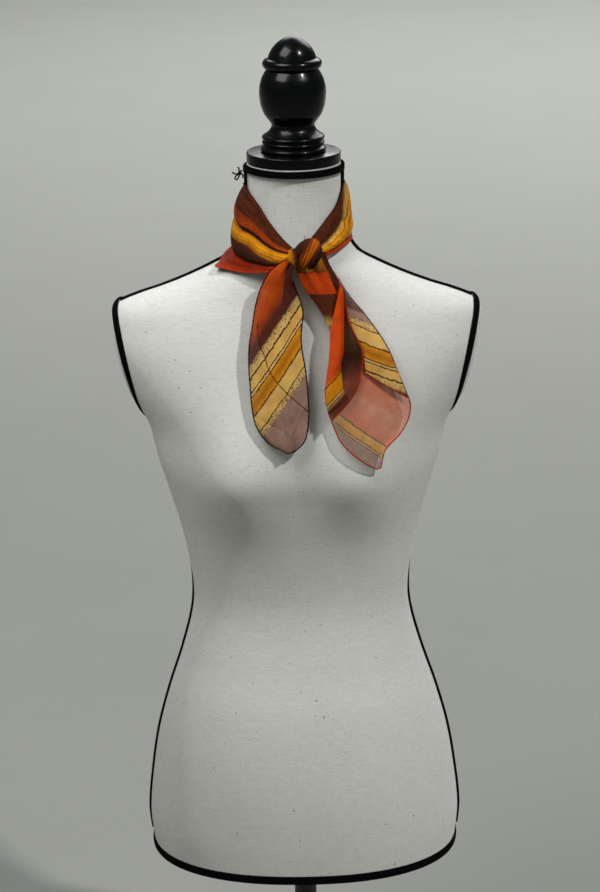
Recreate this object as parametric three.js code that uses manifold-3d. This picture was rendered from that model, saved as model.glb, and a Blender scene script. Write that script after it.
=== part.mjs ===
// A square chiffon scarf, folded on its diagonal and knotted once round the neck of a
// limbless dress form: a linen torso with black cord trims, a turned neck cap, a pole and a base.
// Millimetres, +Z up. The form faces -Y, and +X is on the right of someone looking at its front.
import * as THREE from "three";
import { mergeVertices } from "three/addons/utils/BufferGeometryUtils.js";
import Module from "manifold-3d";

// ---------------------------------------------------------------- driving dimensions

const HEM_HEIGHT = 260; // the torso's bottom edge above the floor
const GAP = 0.3; // clearance between pieces that touch

// Torso sections: height above the hem, half width, depth in front, depth behind.
const TORSO_STATIONS = [
  [0, 168, 121, 118],
  [35, 171, 123, 120],
  [85, 166, 123, 121],
  [133, 158, 119, 118],
  [181, 145, 111, 108],
  [229, 129, 98, 95],
  [276, 117, 88, 84],
  [310, 117, 86, 83],
  [363, 126, 92, 87],
  [415, 140, 102, 92],
  [449, 150, 109, 96],
  [490, 160, 106, 100],
  [530, 184, 96, 99],
  [570, 202, 82, 90],
  [600, 199, 70, 76],
  [614, 189, 64, 67],
  [625, 163, 60, 61],
  [635, 133, 58, 57],
  [646, 106, 56, 56],
  [657, 83, 55, 55],
  [668, 64, 53, 54],
  [690, 52, 50, 52],
  [721, 48.5, 48.5, 49],
  [761.5, 48.5, 48.5, 48.5],
];
const NECK_TOP = 761.5;
const SHOULDER_TIP = 612;
const TORSO_SIDES = 36;
// Exponent of the oval section, 2 for an ellipse: fuller in the body than in the neck.
const ROUNDNESS = { body: 2.25, neck: 2, from: 640, to: 690 };
const LONG_STEP = 29; // ring spacing below the shoulders
const SHORT_STEP = 11; // ring spacing on the shoulders and the neck

const BUST = { out: 19, apart: 70, width: 42, height: 440, above: 62, below: 48 };

// Each arm end is cut off flat, leaning in at the bottom and turned a few degrees to the back.
const ARM_CUT = { x: 179, z: 560, lean: 14, turnRight: 3, turnLeft: 5, span: 240 };
const ARM_PLATE_THICKNESS = 3;

const SHOULDER_CORD_RADIUS = 2;
const SEAM_CORD_RADIUS = 1.7;
// The side seam: height above the hem, and how far it runs behind the middle of the side.
const SEAM_LINE = [
  [0, -4],
  [250, -4],
  [330, 14],
  [480, 20],
];
const BRAID_THICKNESS = 1.8;
const ARM_BRAID_WIDTH = 8;
const HEM_BRAID = { from: -6.5, to: 3.5 };

const CAP = { radius: 48.7, thickness: 11 };
const CAP_TOP = NECK_TOP + GAP + CAP.thickness;
const WRAP = { radius: 51.4, cord: 2.2, rows: [758.8, 755.3] };

// Finial profile: height above the neck cap and radius.
const FINIAL_PROFILE = [
  [0, 33.4],
  [5, 33.4],
  [6, 31.6],
  [9, 31.6],
  [10, 32.4],
  [14, 32],
  [19, 27.4],
  [23, 23.7],
  [27.5, 22.3],
  [31.3, 24.6],
  [35, 27.2],
  [39.6, 30.2],
  [47.8, 33],
  [56, 34.3],
  [64, 34.3],
  [72, 32.9],
  [79, 30],
  [83, 27.4],
  [85.6, 28.4],
  [90, 30.4],
  [94.5, 28.6],
  [97, 24.2],
  [101, 22.7],
  [105.6, 20.1],
  [109.5, 17],
  [113.8, 12],
  [116.4, 6.6],
];
const FINIAL_HEIGHT = 117.5;

const POLE_RADIUS = 12.2;
const BASE = { radius: 165, edge: 8, dome: 16, collarRadius: 24, collarTop: 34 };

const CLOTH = 1.5; // wall of the scarf's solids

// The neck loop of the scarf. Each station: turn about the neck in degrees from the front by way
// of the form's right shoulder, height of the upper edge, height of the lower edge, clearance from
// the form at the upper edge, extra bulge half way down, clearance at the lower edge.
const NECK_LOOP = [
  [4, 682, 667, 10, 1, 15],
  [16, 693, 662, 4, 4, 13],
  [31, 708, 659.5, 3, 7, 11],
  [47, 724, 657, 3, 9, 10],
  [68, 733, 658.5, 3, 11, 8],
  [90, 738, 663, 3, 12, 5],
  [115, 741, 667, 3, 10, 4],
  [150, 744, 671, 3, 8, 4],
  [180, 745, 674, 3, 8, 4],
  [215, 744, 677, 3, 8, 4],
  [250, 742, 680, 4, 7, 3],
  [270, 739, 681, 4, 6, 2.5],
  [288, 729, 682, 3, 5, 4],
  [306, 718, 681, 3, 5, 7],
  [324, 708, 679, 4, 4, 10],
  [340, 690, 675, 6, 2, 13],
];
const LOOP_SPLITS = { left: [4, 112], back: [113, 249], right: [250, 340] };
// Long pleats of the neck loop: place from the upper edge (0) to the lower edge (1), and depth.
const LOOP_PLEATS = [
  [0.24, 2.2],
  [0.5, 3.6],
  [0.76, 3],
];
const PLEAT_WIDTH = 0.055;
const CORD_LIFT = { height: 5.2, spread: 13, turns: [90, 270] }; // where the loop rides over a cord

// The wrap of the knot: its middle, its half length, height and depth, how steeply its axis falls
// towards +X, and the grooves between its pleats along the axis from -1 to 1.
const KNOT = { x: 10, y: -66.5, z: 679.5, half: 16, tall: 16, deep: 12.5, fall: 27 };
const KNOT_GROOVES = [-0.62, -0.34, -0.08, 0.2, 0.46, 0.72];
const KNOT_GROOVE = { depth: 0.1, width: 0.08 };

// The hanging ends. Each edge point: x, height, clearance from the chest.
const LEFT_END_FRONT = {
  left: [
    [-8, 677, 26],
    [-25, 664, 25],
    [-35, 647, 22],
    [-45, 607, 18],
    [-49, 568, 16],
    [-47, 533, 14],
    [-43, 511, 13],
    [-31, 495, 12],
    [-15, 485, 11],
  ],
  right: [
    [-2, 672, 26],
    [-3, 659, 25],
    [0, 646, 22],
    [6, 620, 19],
    [5, 589, 17],
    [10, 553, 15],
    [11, 520, 12],
    [7, 497, 12],
    [-5, 485, 11],
  ],
  rows: 20,
  columns: 7,
  crown: 4,
};
const LEFT_END_BACK = {
  left: [
    [-12, 664, 17],
    [-26, 645, 15],
    [-39, 606, 12],
    [-36, 588, 11],
    [-30, 570, 10],
    [-21, 556, 8],
    [-6, 541, 7],
    [6, 530, 6],
  ],
  right: [
    [-6, 662, 17],
    [-2, 645, 15],
    [3, 610, 12],
    [4, 589, 11],
    [6, 572, 10],
    [8, 556, 8],
    [9, 541, 7],
    [10, 530, 6],
  ],
  rows: 13,
  columns: 5,
  crown: 1,
};
const RIGHT_END_BACK = {
  left: [
    [10, 665, 13],
    [13, 640, 12],
    [29, 616, 13.5],
    [34, 596, 14.5],
    [29, 556, 14],
    [29, 535, 13],
    [36, 508, 12],
    [52, 485, 11],
    [80, 465, 10],
  ],
  right: [
    [26, 674, 13],
    [41, 657, 12],
    [58, 632, 12],
    [85, 597, 14.5],
    [102, 562, 14],
    [115, 529, 13],
    [110, 504, 12],
    [89, 485, 11],
    [84, 468, 10],
  ],
  rows: 20,
  columns: 8,
  crown: 3,
};
const RIGHT_END_PANEL = {
  left: [
    [42, 652, 20],
    [51, 628, 19.5],
    [55, 610, 20],
    [64, 592, 21],
    [68, 578, 21],
    [70, 565, 20],
    [90, 550, 19],
  ],
  right: [
    [46, 650, 20],
    [58, 632, 19],
    [73, 613, 19.5],
    [86, 596, 20.5],
    [97, 576, 21],
    [105, 557, 20],
    [111, 541, 19],
  ],
  rows: 14,
  columns: 5,
  crown: 2,
};
const RIGHT_END_FLAP = {
  left: [
    [20, 652, 24],
    [26, 622, 24],
    [34, 602, 25],
    [33, 581, 25.5],
    [29, 556, 24],
    [28, 541, 23],
    [31, 523, 21],
  ],
  right: [
    [38, 660, 24],
    [47, 640, 24],
    [52, 612, 25],
    [60, 592, 26],
    [64, 572, 26],
    [58, 544, 24],
    [38, 521, 21],
  ],
  rows: 16,
  columns: 6,
  crown: 5,
};

// ---------------------------------------------------------------- materials

const LINEN = new THREE.MeshStandardMaterial({ color: 0xd3d2ca, roughness: 0.95 });
const BLACK_CORD = new THREE.MeshStandardMaterial({ color: 0x101110, roughness: 0.9 });
const LACQUER = new THREE.MeshStandardMaterial({ color: 0x0b0d0d, roughness: 0.22 });
const STAND_PAINT = new THREE.MeshStandardMaterial({ color: 0x141516, roughness: 0.4 });
const RUST_CHIFFON = new THREE.MeshStandardMaterial({ color: 0xaa3c0f, roughness: 0.7 });
const GOLD_CHIFFON = new THREE.MeshStandardMaterial({ color: 0xbe7814, roughness: 0.7 });
const BROWN_CHIFFON = new THREE.MeshStandardMaterial({ color: 0x5a2410, roughness: 0.7 });

// ---------------------------------------------------------------- solids and joins

const wasm = await Module();
wasm.setup();

function toManifold(geometry) {
  const bare = new THREE.BufferGeometry();
  bare.setAttribute("position", geometry.getAttribute("position"));
  if (geometry.index) bare.setIndex(geometry.index);
  const merged = mergeVertices(bare, 1e-3);
  return new wasm.Manifold(
    new wasm.Mesh({
      numProp: 3,
      vertProperties: merged.attributes.position.array,
      triVerts: new Uint32Array(merged.index.array),
    }),
  );
}

function toGeometry(manifold) {
  const mesh = manifold.getMesh();
  const geometry = new THREE.BufferGeometry();
  geometry.setAttribute("position", new THREE.BufferAttribute(mesh.vertProperties, 3));
  geometry.setIndex(new THREE.BufferAttribute(mesh.triVerts, 1));
  return geometry;
}

// What is left of a solid once others are taken away: its largest body.
function cutBy(geometry, tools) {
  let solid = toManifold(geometry);
  for (const tool of tools) solid = solid.subtract(toManifold(tool));
  const bodies = solid.decompose();
  bodies.sort((a, b) => b.volume() - a.volume());
  return toGeometry(bodies[0]);
}

function joined(geometries) {
  let solid = toManifold(geometries[0]);
  for (const other of geometries.slice(1)) solid = solid.add(toManifold(other));
  return toGeometry(solid);
}

// A closed skin over a grid of points: closed rings stacked up, with a flat fan at each end.
function ringSolid(rings) {
  const sides = rings[0].length;
  const points = rings.flat();
  const faces = [];
  for (let ring = 0; ring < rings.length - 1; ring++) {
    for (let side = 0; side < sides; side++) {
      const next = (side + 1) % sides;
      const a = ring * sides + side;
      const b = ring * sides + next;
      faces.push(a, b, b + sides, a, b + sides, a + sides);
    }
  }
  const top = (rings.length - 1) * sides;
  for (let side = 1; side < sides - 1; side++) {
    faces.push(0, side + 1, side);
    faces.push(top, top + side, top + side + 1);
  }
  return indexed(points, faces);
}

// A closed ring of closed sections, such as a cord laid in a loop.
function loopSolid(sections) {
  const sides = sections[0].length;
  const count = sections.length;
  const faces = [];
  for (let row = 0; row < count; row++) {
    for (let side = 0; side < sides; side++) {
      const a = row * sides + side;
      const b = row * sides + ((side + 1) % sides);
      const c = ((row + 1) % count) * sides + ((side + 1) % sides);
      const d = ((row + 1) % count) * sides + side;
      faces.push(a, b, c, a, c, d);
    }
  }
  return outward(indexed(sections.flat(), faces));
}

function indexed(points, faces) {
  const geometry = new THREE.BufferGeometry();
  const flat = points.flatMap((p) => [p.x, p.y, p.z]);
  geometry.setAttribute("position", new THREE.Float32BufferAttribute(flat, 3));
  geometry.setIndex(faces);
  return geometry;
}

// Turns a closed skin's faces round if they point inwards.
function outward(geometry) {
  const at = geometry.getAttribute("position");
  const index = geometry.index.array;
  const [a, b, c] = [new THREE.Vector3(), new THREE.Vector3(), new THREE.Vector3()];
  let volume = 0;
  for (let i = 0; i < index.length; i += 3) {
    a.fromBufferAttribute(at, index[i]);
    b.fromBufferAttribute(at, index[i + 1]);
    c.fromBufferAttribute(at, index[i + 2]);
    volume += a.dot(b.cross(c));
  }
  if (volume >= 0) return geometry;
  for (let i = 0; i < index.length; i += 3) {
    [index[i + 1], index[i + 2]] = [index[i + 2], index[i + 1]];
  }
  return geometry;
}

// A cloth wall on a grid of middle points. grow makes it larger all round, as a cutting tool.
function clothWall(grid, grow = 0) {
  const rows = grid.length;
  const columns = grid[0].length;
  const half = CLOTH / 2 + grow;
  const point = (row, column) => {
    const r = THREE.MathUtils.clamp(row, 0, rows - 1);
    const c = THREE.MathUtils.clamp(column, 0, columns - 1);
    return grid[r][c];
  };
  const front = [];
  const back = [];
  for (let row = 0; row < rows; row++) {
    for (let column = 0; column < columns; column++) {
      const along = point(row + 1, column).clone().sub(point(row - 1, column)).normalize();
      const across = point(row, column + 1).clone().sub(point(row, column - 1)).normalize();
      const normal = along.clone().cross(across).normalize();
      const spot = point(row, column).clone();
      const rowEnd = row === 0 ? -1 : row === rows - 1 ? 1 : 0;
      const columnEnd = column === 0 ? -1 : column === columns - 1 ? 1 : 0;
      spot.addScaledVector(along, rowEnd * grow).addScaledVector(across, columnEnd * grow);
      front.push(spot.clone().addScaledVector(normal, half));
      back.push(spot.clone().addScaledVector(normal, -half));
    }
  }
  const offset = front.length;
  const faces = [];
  const quad = (a, b, c, d) => faces.push(a, b, c, a, c, d);
  for (let row = 0; row < rows - 1; row++) {
    for (let column = 0; column < columns - 1; column++) {
      const a = row * columns + column;
      quad(a, a + columns, a + columns + 1, a + 1);
      quad(offset + a, offset + a + 1, offset + a + columns + 1, offset + a + columns);
    }
  }
  const edge = (a, b) => quad(a, b, offset + b, offset + a);
  for (let column = 0; column < columns - 1; column++) {
    edge(column, column + 1);
    edge((rows - 1) * columns + column + 1, (rows - 1) * columns + column);
  }
  for (let row = 0; row < rows - 1; row++) {
    edge((row + 1) * columns, row * columns);
    edge(row * columns + columns - 1, (row + 1) * columns + columns - 1);
  }
  return outward(indexed([...front, ...back], faces));
}

// A round cord along an open run of points.
function cordAlong(points, radius, sides = 8, steps = 24) {
  const section = new THREE.Shape();
  for (let side = 0; side < sides; side++) {
    const angle = (2 * Math.PI * side) / sides;
    const [x, y] = [radius * Math.cos(angle), radius * Math.sin(angle)];
    if (side === 0) section.moveTo(x, y);
    else section.lineTo(x, y);
  }
  section.closePath();
  const path = new THREE.CatmullRomCurve3(points);
  return new THREE.ExtrudeGeometry(section, { steps, extrudePath: path });
}

// ---------------------------------------------------------------- the form's shape

// A smooth value of one torso measure (1 half width, 2 front depth, 3 back depth) at a height.
function torsoMeasure(measure, height) {
  return smoothAt(TORSO_STATIONS, height, measure);
}

// A smooth curve through a table's rows, read at a value of their first column.
function smoothAt(table, at, column) {
  const last = table.length - 1;
  if (at <= table[0][0]) return table[0][column];
  if (at >= table[last][0]) return table[last][column];
  const i = table.findIndex((row) => row[0] > at) - 1;
  const span = table[i + 1][0] - table[i][0];
  const t = (at - table[i][0]) / span;
  const slope = (j) => {
    const before = table[Math.max(j - 1, 0)];
    const after = table[Math.min(j + 1, last)];
    return ((after[column] - before[column]) / (after[0] - before[0])) * span;
  };
  const [p, q] = [table[i][column], table[i + 1][column]];
  const [m, n] = [slope(i), slope(i + 1)];
  return (
    (2 * t ** 3 - 3 * t ** 2 + 1) * p +
    (t ** 3 - 2 * t ** 2 + t) * m +
    (3 * t ** 2 - 2 * t ** 3) * q +
    (t ** 3 - t ** 2) * n
  );
}

function roundnessAt(height) {
  const share = THREE.MathUtils.smoothstep(height, ROUNDNESS.from, ROUNDNESS.to);
  return THREE.MathUtils.lerp(ROUNDNESS.body, ROUNDNESS.neck, share);
}

function bustAt(x, height) {
  const across = (Math.abs(x) - BUST.apart) / BUST.width;
  const reach = height > BUST.height ? BUST.above : BUST.below;
  const up = (height - BUST.height) / reach;
  return BUST.out * Math.exp(-across * across - up * up);
}

// The front surface of the torso, as y, at a width and a height.
function chestAt(x, height) {
  const power = roundnessAt(height);
  const share = Math.min(Math.abs(x) / torsoMeasure(1, height), 0.999);
  const depth = torsoMeasure(2, height) * (1 - share ** power) ** (1 / power);
  return -depth - bustAt(x, height);
}

// The side of the torso, as x, at a depth and a height.
function sideAt(y, height) {
  const power = roundnessAt(height);
  const share = Math.abs(y) / torsoMeasure(y < 0 ? 2 : 3, height);
  return torsoMeasure(1, height) * (1 - share ** power) ** (1 / power);
}

// Distance of the torso's surface from the axis, in a direction given as x and y.
function reachAt(dx, dy, height) {
  const power = roundnessAt(height);
  const depth = torsoMeasure(dy < 0 ? 2 : 3, height);
  const sum = (Math.abs(dx) / torsoMeasure(1, height)) ** power + (Math.abs(dy) / depth) ** power;
  return sum ** (-1 / power);
}

function torsoRing(height, grow, z = height) {
  return Array.from({ length: TORSO_SIDES }, (_, side) => {
    const angle = (2 * Math.PI * side) / TORSO_SIDES;
    const [dx, dy] = [Math.cos(angle), Math.sin(angle)];
    const reach = reachAt(dx, dy, height) + grow;
    const x = reach * dx;
    const bust = dy < 0 ? bustAt(x, height) : 0;
    return new THREE.Vector3(x, reach * dy - bust, z);
  });
}

function torsoHeights() {
  const heights = [];
  for (let z = 0; z < SHOULDER_TIP - LONG_STEP; z += LONG_STEP) heights.push(z);
  for (let z = SHOULDER_TIP - LONG_STEP / 2; z < NECK_TOP - SHORT_STEP; z += SHORT_STEP) {
    heights.push(z);
  }
  return [...heights, NECK_TOP];
}

function uncutTorso(grow) {
  const heights = torsoHeights();
  const rings = heights.map((height, i) => {
    const end = i === 0 ? -grow : i === heights.length - 1 ? grow : 0;
    return torsoRing(height, grow, height + end);
  });
  return ringSolid(rings);
}

// The flat end of an arm: side is 1 on +X and -1 on -X.
function armPlane(side) {
  const lean = THREE.MathUtils.degToRad(ARM_CUT.lean);
  const turn = THREE.MathUtils.degToRad(side > 0 ? ARM_CUT.turnRight : ARM_CUT.turnLeft);
  const normal = new THREE.Vector3(
    side * Math.cos(lean) * Math.cos(turn),
    Math.sin(turn),
    -Math.sin(lean) * Math.cos(turn),
  ).normalize();
  return { centre: new THREE.Vector3(side * ARM_CUT.x, 0, ARM_CUT.z), normal };
}

// A slab whose inner face lies a distance outside an arm's flat end.
function armSlab(side, distance, thickness) {
  const { centre, normal } = armPlane(side);
  const slab = new THREE.BoxGeometry(ARM_CUT.span, ARM_CUT.span, thickness);
  slab.applyQuaternion(
    new THREE.Quaternion().setFromUnitVectors(new THREE.Vector3(0, 0, 1), normal),
  );
  const middle = centre.clone().addScaledVector(normal, distance + thickness / 2);
  return slab.translate(middle.x, middle.y, middle.z);
}

function torso(grow = 0) {
  const reach = 100;
  return cutBy(uncutTorso(grow), [armSlab(1, grow, reach), armSlab(-1, grow, reach)]);
}

function armPlate(side, grow = 0) {
  const slab = toManifold(armSlab(side, GAP - grow, ARM_PLATE_THICKNESS + 2 * grow));
  return toGeometry(toManifold(uncutTorso(grow)).intersect(slab));
}

function insideTorso(point) {
  return Math.hypot(point.x, point.y) < reachAt(...direction(point), point.z);
}

function direction(point) {
  const length = Math.hypot(point.x, point.y);
  return [point.x / length, point.y / length];
}

// The outline of an arm's flat end, found by stepping out from its middle.
function armOutline(side, count) {
  const { centre, normal } = armPlane(side);
  const up = new THREE.Vector3(0, 0, 1).addScaledVector(normal, -normal.z).normalize();
  const across = up.clone().cross(normal).normalize();
  return Array.from({ length: count }, (_, i) => {
    const angle = (2 * Math.PI * i) / count;
    const ray = across
      .clone()
      .multiplyScalar(Math.cos(angle))
      .addScaledVector(up, Math.sin(angle));
    let near = 0;
    let far = 120;
    while (far - near > 0.05) {
      const middle = (near + far) / 2;
      if (insideTorso(centre.clone().addScaledVector(ray, middle))) near = middle;
      else far = middle;
    }
    return centre.clone().addScaledVector(ray, near);
  });
}

// ---------------------------------------------------------------- the form's pieces

// The direction straight out of the uncut torso at a point of its surface.
function outOfTorso(point) {
  const step = 0.5;
  const share = (p) => Math.hypot(p.x, p.y) / reachAt(...direction(p), p.z);
  const along = (axis) => {
    const ahead = point.clone().addScaledVector(axis, step);
    const behind = point.clone().addScaledVector(axis, -step);
    return share(ahead) - share(behind);
  };
  const axes = [new THREE.Vector3(1, 0, 0), new THREE.Vector3(0, 1, 0), new THREE.Vector3(0, 0, 1)];
  return new THREE.Vector3(...axes.map(along)).normalize();
}

// A flat braid on the torso round the edge of an arm's flat end.
function armBraid(side) {
  const { normal } = armPlane(side);
  const sunk = 1;
  const high = GAP + BRAID_THICKNESS;
  const sections = armOutline(side, 36).map((edge) => {
    const out = outOfTorso(edge);
    const inward = out.clone().multiplyScalar(normal.dot(out)).sub(normal).normalize();
    const corner = (along, up) => {
      return edge.clone().addScaledVector(inward, along).addScaledVector(out, up);
    };
    return [
      corner(0, -sunk),
      corner(0, high),
      corner(ARM_BRAID_WIDTH, high),
      corner(ARM_BRAID_WIDTH, -sunk),
    ];
  });
  return cutBy(loopSolid(sections), [torso(GAP), armPlate(side, GAP)]);
}

// A flat braid round the torso's bottom edge.
function hemBraid() {
  const count = 40;
  const sections = Array.from({ length: count }, (_, i) => {
    const angle = (2 * Math.PI * i) / count;
    const [dx, dy] = [Math.cos(angle), Math.sin(angle)];
    const reach = reachAt(dx, dy, 0);
    const corner = (out, z) => new THREE.Vector3((reach + out) * dx, (reach + out) * dy, z);
    const high = 2 * GAP + BRAID_THICKNESS;
    return [
      corner(0, HEM_BRAID.from),
      corner(high, HEM_BRAID.from),
      corner(high, HEM_BRAID.to),
      corner(0, HEM_BRAID.to),
    ];
  });
  return cutBy(loopSolid(sections), [torso(GAP)]);
}

// The cord from the neck down its side and out along the top of a shoulder.
function shoulderCord(side) {
  const heights = [747, 720, 700, 685, 672, 662, 652, 641, 630, 622, 617];
  const points = heights.map((z) => new THREE.Vector3(side * (torsoMeasure(1, z) + 1.2), 0, z));
  const cord = cordAlong(points, SHOULDER_CORD_RADIUS, 6, 22);
  return cutBy(cord, [torso(GAP), armBraid(side)]);
}

function seamCord(side) {
  const points = [];
  for (let z = 476; z > 12; z -= 33) {
    const y = smoothAt(SEAM_LINE, z, 1);
    points.push(new THREE.Vector3(side * (sideAt(y, z) + 1), y, z));
  }
  return cutBy(cordAlong(points, SEAM_CORD_RADIUS, 6, 20), [torso(GAP)]);
}

function neckCap() {
  const half = CAP.thickness / 2;
  const cap = new THREE.CylinderGeometry(CAP.radius, CAP.radius, CAP.thickness, 48);
  return cap.rotateX(Math.PI / 2).translate(0, 0, NECK_TOP + GAP + half);
}

function turned(profile, sides) {
  const points = profile.map(([z, radius]) => new THREE.Vector2(radius, z));
  return new THREE.LatheGeometry(points, sides).rotateX(Math.PI / 2);
}

function finial() {
  const profile = [[0, 0], ...FINIAL_PROFILE, [FINIAL_HEIGHT, 0]];
  return turned(profile, 24).translate(0, 0, CAP_TOP + GAP);
}

// Two turns of cord under the cap.
function neckWrap() {
  const rows = WRAP.rows.map((z) => {
    const ring = new THREE.TorusGeometry(WRAP.radius, WRAP.cord, 6, 32);
    return ring.translate(0, 0, z);
  });
  return joined(rows);
}

// The small bow that ties the cord off, on the form's right side of the neck.
function neckBow() {
  const radius = 0.9;
  const [x, y, z] = [-55, -14, 754];
  const at = (dx, dy, dz) => new THREE.Vector3(x + dx, y + dy, z + dz);
  const knot = new THREE.SphereGeometry(2.1, 8, 6).translate(x, y, z);
  const leftEnd = [at(0, 0, 0), at(-3, -1, -1.6), at(-8.5, -1, 0.4)];
  const upEnd = [at(0, 0, 0), at(-1.6, -1, 3), at(-2, -1, 6)];
  const loop = [at(0, 0, 0), at(-3.6, -1, -3.2), at(-5.2, -1, -6), at(-3, -1, -7), at(0, 0, -1)];
  const shortEnd = [at(0, 0, 0), at(2.2, -2, -2.4), at(2.8, -2.4, -5.5)];
  const cords = [leftEnd, upEnd, loop, shortEnd].map((run) => cordAlong(run, radius, 5, 5));
  return joined([knot, ...cords]);
}

function pole() {
  const height = HEM_HEIGHT - BASE.collarTop - 2 * GAP;
  const rod = new THREE.CylinderGeometry(POLE_RADIUS, POLE_RADIUS, height, 24);
  return rod.rotateX(Math.PI / 2).translate(0, 0, -GAP - height / 2);
}

function standBase() {
  const profile = [
    [0, 0],
    [0, BASE.radius],
    [BASE.edge, BASE.radius],
    [BASE.edge + 3, BASE.radius - 6],
    [BASE.dome, BASE.collarRadius + 30],
    [BASE.dome + 4, BASE.collarRadius],
    [BASE.collarTop - 3, BASE.collarRadius - 6],
    [BASE.collarTop, BASE.collarRadius - 8],
    [BASE.collarTop, 0],
  ];
  return turned(profile, 48).translate(0, 0, -HEM_HEIGHT);
}

// ---------------------------------------------------------------- the scarf's pieces

// A point of the neck loop at a turn in degrees and a share of the way down from the upper edge.
function loopPoint(turn, share) {
  const upper = smoothAt(NECK_LOOP, turn, 1);
  const lower = smoothAt(NECK_LOOP, turn, 2);
  const z = THREE.MathUtils.lerp(upper, lower, share);
  const clearance = THREE.MathUtils.lerp(
    smoothAt(NECK_LOOP, turn, 3),
    smoothAt(NECK_LOOP, turn, 5),
    share,
  );
  let out = clearance + smoothAt(NECK_LOOP, turn, 4) * Math.sin(Math.PI * share) ** 0.9;
  for (const [place, depth] of LOOP_PLEATS) {
    out -= depth * Math.exp(-(((share - place) / PLEAT_WIDTH) ** 2));
  }
  let least = 1.5 * CLOTH;
  for (const cord of CORD_LIFT.turns) {
    least += CORD_LIFT.height * Math.exp(-(((turn - cord) / CORD_LIFT.spread) ** 2));
  }
  const angle = THREE.MathUtils.degToRad(turn);
  const [dx, dy] = [-Math.sin(angle), -Math.cos(angle)];
  const reach = reachAt(dx, dy, z) + Math.max(out, least);
  return new THREE.Vector3(reach * dx, reach * dy, z);
}

function loopWall([from, to], rows, columns, grow) {
  const grid = Array.from({ length: rows + 1 }, (_, row) => {
    const turn = THREE.MathUtils.lerp(from, to, row / rows);
    return Array.from({ length: columns + 1 }, (_, column) => loopPoint(turn, column / columns));
  });
  return clothWall(grid, grow);
}

// A hanging end between its two edges, standing off the chest and crowned across its width.
function endWall(end, grow) {
  const curve = (edge) => new THREE.CatmullRomCurve3(edge.map(([x, z, off]) => {
    return new THREE.Vector3(x, off, z);
  }));
  const [left, right] = [curve(end.left), curve(end.right)];
  const grid = Array.from({ length: end.rows + 1 }, (_, row) => {
    const a = left.getPoint(row / end.rows);
    const b = right.getPoint(row / end.rows);
    return Array.from({ length: end.columns + 1 }, (_, column) => {
      const share = column / end.columns;
      const spot = a.clone().lerp(b, share);
      const off = spot.y + end.crown * Math.sin(Math.PI * share);
      return new THREE.Vector3(spot.x, chestAt(spot.x, spot.z) - off, spot.z);
    });
  });
  return clothWall(grid, grow);
}

// The wrap of the knot: a rounded barrel pleated along its way round.
function knot(grow = 0) {
  const barrel = new THREE.SphereGeometry(1, 18, 30).rotateZ(Math.PI / 2);
  const at = barrel.getAttribute("position");
  const point = new THREE.Vector3();
  for (let i = 0; i < at.count; i++) {
    point.fromBufferAttribute(at, i);
    const pleat = KNOT_GROOVES.reduce((size, groove) => {
      return size - KNOT_GROOVE.depth * Math.exp(-(((point.x - groove) / KNOT_GROOVE.width) ** 2));
    }, 1);
    point.x *= KNOT.half + grow;
    point.y *= (KNOT.deep + grow) * pleat;
    point.z *= (KNOT.tall + grow) * pleat;
    at.setXYZ(i, point.x, point.y, point.z);
  }
  return barrel
    .rotateY(THREE.MathUtils.degToRad(KNOT.fall))
    .translate(KNOT.x, KNOT.y, KNOT.z);
}

function scarfPieces() {
  const knotTool = knot(GAP);
  const left = (grow) => loopWall(LOOP_SPLITS.left, 17, 14, grow);
  const right = (grow) => loopWall(LOOP_SPLITS.right, 14, 12, grow);
  const loopTools = [knotTool, left(GAP), right(GAP)];
  return [
    ["scarf_neck_left", cutBy(left(0), [knotTool]), BROWN_CHIFFON],
    ["scarf_neck_back", loopWall(LOOP_SPLITS.back, 16, 12, 0), RUST_CHIFFON],
    ["scarf_neck_right", cutBy(right(0), [knotTool]), GOLD_CHIFFON],
    ["scarf_knot", knot(), BROWN_CHIFFON],
    ["scarf_end_left_front", cutBy(endWall(LEFT_END_FRONT, 0), loopTools), RUST_CHIFFON],
    ["scarf_end_left_back", cutBy(endWall(LEFT_END_BACK, 0), loopTools), GOLD_CHIFFON],
    ["scarf_end_right_back", cutBy(endWall(RIGHT_END_BACK, 0), loopTools), RUST_CHIFFON],
    ["scarf_end_right_panel", cutBy(endWall(RIGHT_END_PANEL, 0), loopTools), GOLD_CHIFFON],
    ["scarf_end_right_flap", cutBy(endWall(RIGHT_END_FLAP, 0), loopTools), BROWN_CHIFFON],
  ];
}

// ---------------------------------------------------------------- the whole part

const part = new THREE.Group();
const raised = new THREE.Group();
raised.position.z = HEM_HEIGHT;
part.add(raised);

function addPiece(name, geometry, material) {
  const mesh = new THREE.Mesh(geometry, material);
  mesh.name = name;
  raised.add(mesh);
}

addPiece("form_torso", torso(), LINEN);
addPiece("form_neck_cap", neckCap(), LACQUER);
addPiece("form_finial", finial(), LACQUER);
addPiece("form_neck_wrap", neckWrap(), BLACK_CORD);
addPiece("form_neck_bow", neckBow(), BLACK_CORD);
for (const [side, word] of [[-1, "left"], [1, "right"]]) {
  addPiece(`form_arm_plate_${word}`, armPlate(side), LINEN);
  addPiece(`form_arm_braid_${word}`, armBraid(side), BLACK_CORD);
  addPiece(`form_shoulder_cord_${word}`, shoulderCord(side), BLACK_CORD);
  addPiece(`form_seam_cord_${word}`, seamCord(side), BLACK_CORD);
}
addPiece("form_hem_braid", hemBraid(), BLACK_CORD);
addPiece("stand_pole", pole(), STAND_PAINT);
addPiece("stand_base", standBase(), STAND_PAINT);
for (const [name, geometry, material] of scarfPieces()) addPiece(name, geometry, material);

export default part;
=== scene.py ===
"""A square chiffon scarf knotted round the neck of a linen dress form, on its counter stand."""
import math

import bmesh
import bpy
from mathutils import Matrix, Vector


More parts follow.
